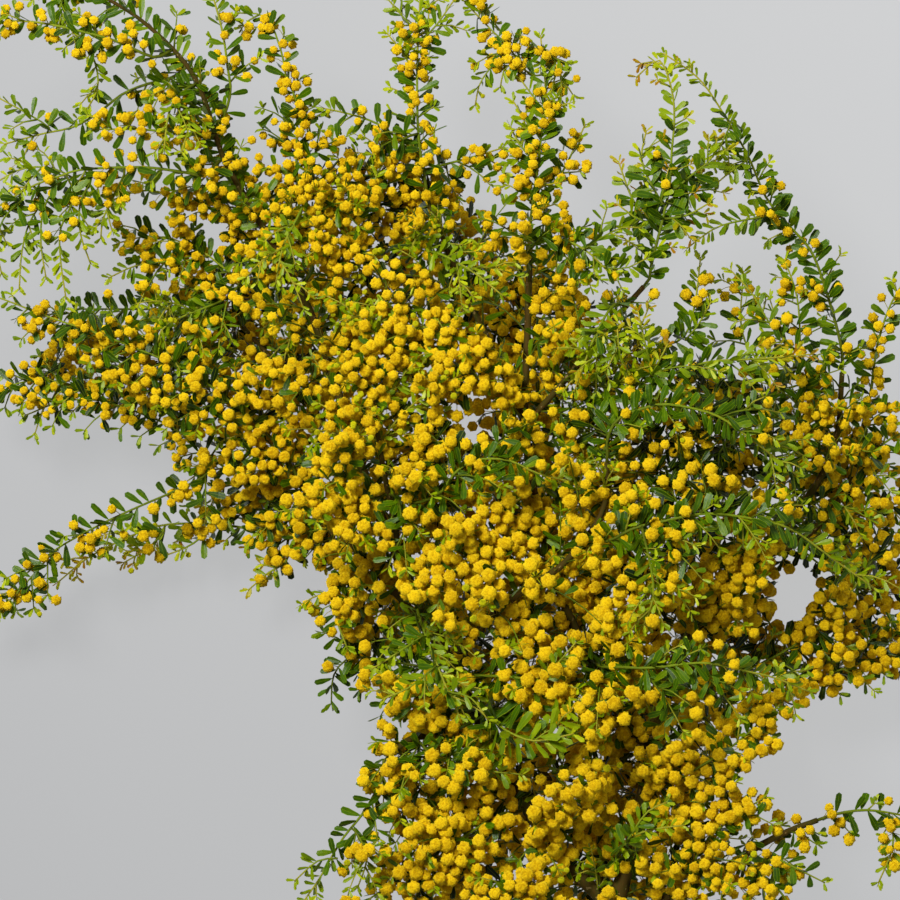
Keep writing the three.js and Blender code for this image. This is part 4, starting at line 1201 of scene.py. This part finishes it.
def dress_bough_end(plant, route, first_organ):
    """Leaves straight on the thin end of a bough."""
    for k in range(int(route.length / AXIL_GAP)):
        s = k * AXIL_GAP
        if route.radius_at(s) < DRESSED_RADIUS:
            foot, stem = route.point_at(s), route.direction_at(s)
            age = plant.leaf_age(0.2, 0.0, first_organ + k)
            for extra_turn, extra_organ, size in ((0.0, 0, 0.95), (2.6, 300, 0.85)):
                turn, organ = k * GOLDEN_ANGLE + extra_turn, first_organ + k + extra_organ
                plant.grow_leaf(foot, stem, turn, organ, 0.2, age, size, PLAIN_LEAF_FORMS)


def grow_bough_shoots(plant, route):
    """Leafy shoots straight from a bough, which fill the middle of the sprig."""
    for k in range(1, int(route.length / BOUGH_SHOOT_GAP)):
        organ = 3000 + k
        s = k * BOUGH_SHOOT_GAP + 2 * plant.draw(organ, "shift")
        foot, stem = route.point_at(s), route.direction_at(s)
        full = fullness(foot)
        if foot[1] < BARE_BELOW or plant.draw(organ, "shoot") > 0.5 + full:
            continue
        turn = k * GOLDEN_ANGLE + plant.draw(organ, "shoot_tilt")
        length = between(BOUGH_SHOOT_LENGTHS, plant.draw(organ, "shoot_length")) * (0.4 + 0.6 * full)
        plant.grow_shoot(foot, stem, turn, length, organ, 0.0, 0.2, 1)


def fill_gaps(plants, carriers, step, organ):
    """Dark shoots that grow from the nearest stem into each place that still shows the surface.

    organ is the number that theirs are counted on from.
    """
    spots = np.vstack([route.corners for _, route in carriers])
    owners = [name for name, route in carriers for _ in route.corners]
    xs, ys = zip(*FULL_OUTLINE)
    for i in range(int((max(xs) - min(xs)) / step)):
        for j in range(int((max(ys) - min(ys)) / step)):
            organ += 1
            x = min(xs) + (i + draw(GAP_NUMBER, organ, "gap_x")) * step
            y = min(ys) + (j + draw(GAP_NUMBER, organ, "gap_y")) * step
            if depth_inside(FULL_OUTLINE, x, y) < GAP_MARGIN or in_open_place(x, y, GAP_OPEN_MARGIN):
                continue
            if COVER.share_at(x, y) > GAP_COVER:
                continue
            away = np.hypot(spots[:, 0] - x, spots[:, 1] - y)
            near = int(np.argmin(np.where(away < 5, 1e9, away + 0.12 * spots[:, 2])))
            if away[near] > GAP_REACH:
                continue
            foot = spots[near]
            height = foot[2] - 4 - 22 * draw(GAP_NUMBER, organ, "gap_depth")
            target = np.array([x, y, max(height, GAP_LOWEST)])
            way = unit(target - foot)
            aside = np.array([-way[1], way[0], 0.0])
            bend = aside * (draw(GAP_NUMBER, organ, "gap_bend") - 0.5) * 0.4 * away[near]
            points = [foot, (foot + target) / 2 + bend, target, target + way * 6 - bend * 0.2]
            plants[owners[near]].grow_twig(Route(points, SHOOT_RADII, 3), organ * 60 + 5000, 0.0, 0.1, 2)


def spray_routes(row, boughs):
    """The routes of one spray: the first grows from its bough, the others from the nearest before them."""
    routes = []
    for i, points in enumerate(row["routes"]):
        carriers = [boughs[row["on"]]] if i == 0 else routes
        first = np.array(points[0], float)
        carrier = min(carriers, key=lambda route: route.distance_to(first))
        s = carrier.nearest_to(first)
        axis, direction = carrier.point_at(s), carrier.direction_at(s)
        away = first - axis
        away = unit(away - direction * away.dot(direction))
        if s > carrier.length - 0.5:
            away = direction
        foot = [axis, axis + away * carrier.radius_at(s) + away * TWIG_FOOT]
        radii = (min(TWIG_RADII[0], carrier.radius_at(s)), TWIG_RADII[1])
        routes.append(Route(foot + [np.array(p, float) for p in points], radii))
    return routes


def linear(colour):
    """A colour as seen, from 0 to 255, as the linear one that materials and lights take."""
    shares = [c / 255 / 12.92 if c <= 10 else ((c / 255 + 0.055) / 1.055) ** 2.4 for c in colour]
    return (*shares, 1.0)


class Paint:
    """A node material, with short calls for the nodes that it is made of."""

    def __init__(self, name, roughness, **sockets):
        self.material = bpy.data.materials.new(name)
        self.material.use_nodes = True
        self.tree = self.material.node_tree
        self.shader = self.tree.nodes["Principled BSDF"]
        self.shader.inputs["Roughness"].default_value = roughness
        for socket, value in sockets.items():
            self.shader.inputs[socket.replace("_", " ")].default_value = value

    def connect(self, node, inputs):
        for key, value in inputs.items():
            if isinstance(value, bpy.types.NodeSocket):
                self.tree.links.new(value, node.inputs[key])
            else:
                node.inputs[key].default_value = value

    def node(self, kind, inputs, **settings):
        node = self.tree.nodes.new(kind)
        for word, value in settings.items():
            setattr(node, word, value)
        self.connect(node, inputs)
        return node

    def place(self):
        return self.node("ShaderNodeTexCoord", {}).outputs["Object"]

    def along_and_across(self):
        texture = self.node("ShaderNodeUVMap", {}).outputs[0]
        return self.node("ShaderNodeSeparateXYZ", {0: texture}).outputs

    def value(self, name):
        return self.node("ShaderNodeAttribute", {}, attribute_name=name).outputs["Fac"]

    def math(self, operation, a, b=0.0):
        return self.node("ShaderNodeMath", {0: a, 1: b}, operation=operation).outputs[0]

    def plus(self, a, b):
        return self.math("ADD", a, b)

    def times(self, a, b):
        return self.math("MULTIPLY", a, b)

    def swing(self, value, amount):
        """A value that lies about a half, as one that swings about 0."""
        return self.times(self.math("SUBTRACT", value, 0.5), amount)

    def noise(self, size, detail=3.0, place=None):
        inputs = {"Vector": place or self.place(), "Scale": 1 / (size * MM), "Detail": detail}
        return self.node("ShaderNodeTexNoise", inputs).outputs["Fac"]

    def ramp(self, factor, stops):
        node = self.node("ShaderNodeValToRGB", {"Fac": factor})
        elements = node.color_ramp.elements
        while len(elements) < len(stops):
            elements.new(0.5)
        for element, (position, colour) in zip(elements, stops):
            element.position = position
            element.color = linear(colour)
        return node.outputs["Color"]

    def blend(self, factor, a, b):
        return self.node("ShaderNodeMix", {0: factor, 6: a, 7: b}, data_type="RGBA").outputs[2]

    def colour(self, colour):
        self.connect(self.shader, {"Base Color": colour})

    def bump(self, height, distance):
        node = self.node("ShaderNodeBump", {"Height": height, "Distance": distance * MM, "Strength": 1.0})
        self.connect(self.shader, {"Normal": node.outputs["Normal"]})


def paint_leaf():
    """Darker or lighter by the leaf's age and its painted shade, with a fine pale edge and midrib."""
    paint = Paint("satin_leaf", 0.38, Specular_IOR_Level=0.22)
    off_rib = paint.math("ABSOLUTE", paint.math("SUBTRACT", paint.along_and_across()[0], 0.5))
    mottle = paint.swing(paint.noise(3.0), 0.25)
    tone = paint.swing(paint.value("tone"), 0.2)
    age = paint.plus(paint.value("age"), paint.plus(mottle, tone))
    face = paint.ramp(age, [
        (0.0, DARK_LEAF), (0.3, GREEN_LEAF), (0.6, LIGHT_LEAF), (0.76, PALE_LEAF), (0.98, BRONZE_LEAF),
    ])
    edge = paint.math("GREATER_THAN", off_rib, 0.44)
    rib = paint.math("LESS_THAN", off_rib, 0.035)
    line = paint.plus(paint.times(edge, 0.45), paint.times(rib, 0.25))
    paint.colour(paint.blend(line, face, linear(LEAF_EDGE)))
    paint.bump(paint.noise(0.8), 0.1)
    return paint.material


def paint_head():
    """Fluffy stamens, bright on floret tips, deep yellow painted shade between them, and greener on a bud."""
    paint = Paint("golden_stamens", 0.9, Specular_IOR_Level=0.08, Diffuse_Roughness=1.0, Sheen_Weight=0.5,
                  Sheen_Roughness=0.6, Sheen_Tint=linear(STAMEN_SHEEN))
    florets = paint.along_and_across()[0]
    fluff = paint.plus(paint.times(paint.noise(0.9, 1.0), 0.6), paint.times(paint.noise(0.35, 1.0), 0.4))
    # Painted shade: the stamens are deeper yellow between the florets than on their tips
    light = paint.plus(paint.times(florets, 0.3), paint.swing(fluff, 2.2))
    # Painted shade: heads deep in the sprig are darker through their tone
    light = paint.plus(light, paint.times(paint.value("tone"), 0.35))
    open_head = paint.ramp(light, [(0.0, DEEP_YELLOW), (0.6, BRIGHT_YELLOW)])
    bud = paint.ramp(light, [(0.0, BUD_SHADE), (0.6, BUD_YELLOW)])
    paint.colour(paint.blend(paint.value("age"), open_head, bud))
    paint.bump(fluff, 0.6)
    return paint.material


def paint_twig():
    paint = Paint("green_twig", 0.6, Specular_IOR_Level=0.15)
    mottle = paint.swing(paint.noise(1.5), 0.4)
    shade = paint.plus(paint.value("age"), mottle)
    paint.colour(paint.ramp(shade, [(0.0, OLD_TWIG), (0.5, YOUNG_TWIG), (1.0, STALK)]))
    paint.bump(mottle, 0.15)
    return paint.material


def paint_bark():
    """Olive and brown streaks along the wood, with pale specks."""
    paint = Paint("brown_green_bark", 0.8, Specular_IOR_Level=0.12)
    stretched = paint.node("ShaderNodeMapping", {"Vector": paint.place(), "Scale": (1.0, 0.3, 1.0)})
    streaks = paint.noise(1.2, 5.0, stretched.outputs[0])
    patches = paint.noise(9.0, 2.0)
    specks = paint.math("GREATER_THAN", paint.noise(1.6, 1.0), 0.68)
    shade = paint.plus(paint.times(streaks, 0.6), paint.times(patches, 0.5))
    skin = paint.ramp(shade, [(0.35, OLIVE_BARK), (0.75, BROWN_BARK)])
    paint.colour(paint.blend(paint.times(specks, 0.5), skin, linear(CUT_RING)))
    paint.bump(streaks, 0.3)
    return paint.material


def paint_cut():
    """Pale wood with year rings round its middle and a thin rim of bark."""
    paint = Paint("cut_wood", 0.85, Specular_IOR_Level=0.2)
    radius, _, trunk = BOUGHS["trunk"]
    middle = tuple((trunk[0] - MIDDLE) * MM)
    away = paint.node("ShaderNodeVectorMath", {0: paint.place(), 1: middle}, operation="DISTANCE")
    away = away.outputs["Value"]
    rings = paint.math("SINE", paint.times(away, 2 * math.pi / (YEAR_RING * MM)))
    shade = paint.plus(paint.times(rings, 0.3), paint.noise(0.8))
    face = paint.ramp(shade, [(0.2, CUT_RING), (0.8, CUT_WOOD)])
    rim = paint.math("GREATER_THAN", away, (radius - 0.5) * MM)
    paint.colour(paint.blend(rim, face, linear(BROWN_BARK)))
    return paint.material


def set_camera():
    """Looks straight down, from so far above that the heights hardly shift what is seen."""
    lens = bpy.data.cameras.new("view")
    lens.sensor_width = 36.0
    lens.lens = lens.sensor_width * CAMERA_HEIGHT / VIEW_WIDTH
    lens.clip_end = 50.0
    camera = bpy.data.objects.new("view", lens)
    bpy.context.scene.collection.objects.link(camera)
    camera.location = (-MIDDLE[0] * MM, -MIDDLE[1] * MM, (CAMERA_HEIGHT + MIDDLE_HEIGHT) * MM)
    bpy.context.scene.camera = camera


def set_floor():
    """A pale surface, lighter at the upper right as painted light. It glows a little, so that shadows on it
    stay faint.
    """
    floor = start_piece(bpy.ops.mesh.primitive_plane_add, size=8.0)
    floor.name = "pale_surface"
    start_shaping()
    bpy.ops.mesh.subdivide(number_cuts=7)
    bpy.ops.object.mode_set(mode="OBJECT")
    paint = Paint("pale_surface", 0.95, Specular_IOR_Level=0.1, Emission_Strength=1.0)
    place = paint.node("ShaderNodeSeparateXYZ", {0: paint.place()}).outputs
    rise = paint.plus(paint.times(place[0], 1.3), paint.times(place[1], 1.3))
    light = paint.plus(rise, 0.5)
    paint.colour(paint.ramp(light, [(0.0, FLOOR_SHADE[0]), (1.0, FLOOR_SHADE[1])]))
    glow = paint.ramp(light, [(0.0, FLOOR_GLOW[0]), (1.0, FLOOR_GLOW[1])])
    paint.connect(paint.shader, {"Emission Color": glow})
    floor.data.materials.append(paint.material)


def add_light(name, place, size, watts):
    """A round soft light that points at the sprig."""
    data = bpy.data.lights.new(name, "AREA")
    data.shape, data.size, data.energy = "DISK", size, watts
    light = bpy.data.objects.new(name, data)
    bpy.context.scene.collection.objects.link(light)
    light.location = place
    way = np.array(LIT_PLACE, float) - np.array(place, float)
    light.rotation_euler = (math.atan2(math.hypot(way[0], way[1]), -way[2]), 0.0, math.atan2(-way[0], way[1]))


def set_lights():
    add_light("key", (-0.7, 0.9, 1.9), 0.7, KEY_WATTS)
    add_light("fill", (1.2, -0.4, 1.6), 1.2, FILL_WATTS)
    world = bpy.data.worlds.new("studio")
    world.use_nodes = True
    sky = world.node_tree.nodes["Background"].inputs
    sky["Color"].default_value = linear(SKY)
    sky["Strength"].default_value = SKY_STRENGTH
    bpy.context.scene.world = world
    bpy.context.scene.view_settings.view_transform = "Standard"


def bough_piece(name, route):
    """One bough as a closed piece of its own, a little knobbly."""
    rings = round(route.length / 3.0)
    form = rod_form(12, rings)
    mesh = bpy.data.meshes.new(name)
    mesh.from_pydata(((bend_rod(form, route, rings, 0.07) - MIDDLE) * MM).tolist(), [], form.faces)
    piece = bpy.data.objects.new(name, mesh)
    bpy.context.scene.collection.objects.link(piece)
    return piece


def join_boughs(boughs):
    """All boughs as one solid piece. Its bark runs up to the pale wood where the trunk was cut."""
    bark, *others = [bough_piece(name, route) for name, route in boughs.items()]
    for other in others:
        union = bark.modifiers.new("union", "BOOLEAN")
        union.operation, union.solver, union.object = "UNION", "EXACT", other
        bpy.ops.object.select_all(action="DESELECT")
        bpy.context.view_layer.objects.active = bark
        bark.select_set(True)
        bpy.ops.object.modifier_apply(modifier=union.name)
        bpy.data.objects.remove(other)
    bark.name = "stem_bark"
    bark.data.materials.append(BARK)
    bark.data.materials.append(CUT)
    trunk = boughs["trunk"]
    cut, way = (trunk.point_at(0.0) - MIDDLE) * MM, trunk.direction_at(0.0)
    for face in bark.data.polygons:
        face.use_smooth = True
        centre, normal = np.array(face.center), np.array(face.normal)
        if abs((centre - cut).dot(way)) < 0.5 * MM and normal.dot(way) < -0.9:
            face.material_index, face.use_smooth = 1, False
    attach(bark, "root")
    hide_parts("stem")


def grow_spray(index, row, routes):
    """All of one spray, in the piece that stands for its solid."""
    plant = Plant(Growth(), index + 1, row["flowers"], row["tip_age"], row["leaf_size"], row["side_shoots"])
    if row["rest"]:
        centre = np.array([*row["rest"], HEAD_DIAMETER / 2])
        carrier = min(routes, key=lambda route: route.distance_to(centre))
        foot = carrier.point_at(carrier.nearest_to(centre))
        plant.set_head(foot, centre, HEAD_DIAMETER, RESTING_HEAD, False, 0.0)
    for i, route in enumerate(routes):
        young = row["young"][min(i, len(row["young"]) - 1)]
        plant.grow_twig(route, 100 * i, 0.0, young)
    plant.growth.finish(row["name"] + "_growth", "foliage", row["name"])


set_camera()
set_floor()
set_lights()

HEAD_FORMS = [model_head(seed, floret) for seed, floret in enumerate(FLORETS, 1)]
PLAIN_HEAD_FORMS = [model_plain_head(seed) for seed in (1, 2, 3)]
BUD_FORMS = [model_bud()]
LEAF_FORMS, PLAIN_LEAF_FORMS, SMALL_LEAF_FORMS = [
    [model_leaf(fold, arch, rings) for fold, arch in LEAF_BENDS] for rings in (5, 4, 3)
]
BARK, CUT, GREEN, LEAVES, STAMENS = paint_bark(), paint_cut(), paint_twig(), paint_leaf(), paint_head()

boughs = {name: Route(route, (start, end)) for name, (start, end, route) in BOUGHS.items()}
join_boughs(boughs)

# The highest sprays grow first, because what is high has the first choice of room
all_routes = [spray_routes(row, boughs) for row in SPRAYS]
for index, row in enumerate(SPRAYS):
    if row["flowers"] <= LEAFY_SPRAY:
        for route in all_routes[index]:
            WINDOWS.keep(route, index + 1)
for index in sorted(range(len(SPRAYS)), key=lambda n: -all_routes[n][0].corners[:, 2].mean()):
    grow_spray(index, SPRAYS[index], all_routes[index])

# Then the shoots straight from each bough, and last the dark ones that close the gaps, in the same pieces
shoots = {name: Growth() for name in boughs}
plants = {name: Plant(shoots[name], 101 + index, 0.6) for index, name in enumerate(boughs)}
for name, route in boughs.items():
    grow_bough_shoots(plants[name], route)
dress_bough_end(plants["leader"], boughs["leader"], 60000)
# Painted shade: the leaves of the gap-closing shoots are painted dark, and their tips stay darker too
dark_plants = {
    name: Plant(shoots[name], 201 + index, 0.8, tip_age=0.3, leaf_size=1.2, shade=0.9)
    for index, name in enumerate(boughs)
}
carriers = list(boughs.items())
for row, routes in zip(SPRAYS, all_routes):
    carriers.extend((row["on"], route) for route in routes)
for turn, step in enumerate(GAP_STEPS):
    fill_gaps(dark_plants, carriers, step, turn * 20000)
for name, growth in shoots.items():
    growth.finish(name + "_shoots", "foliage")
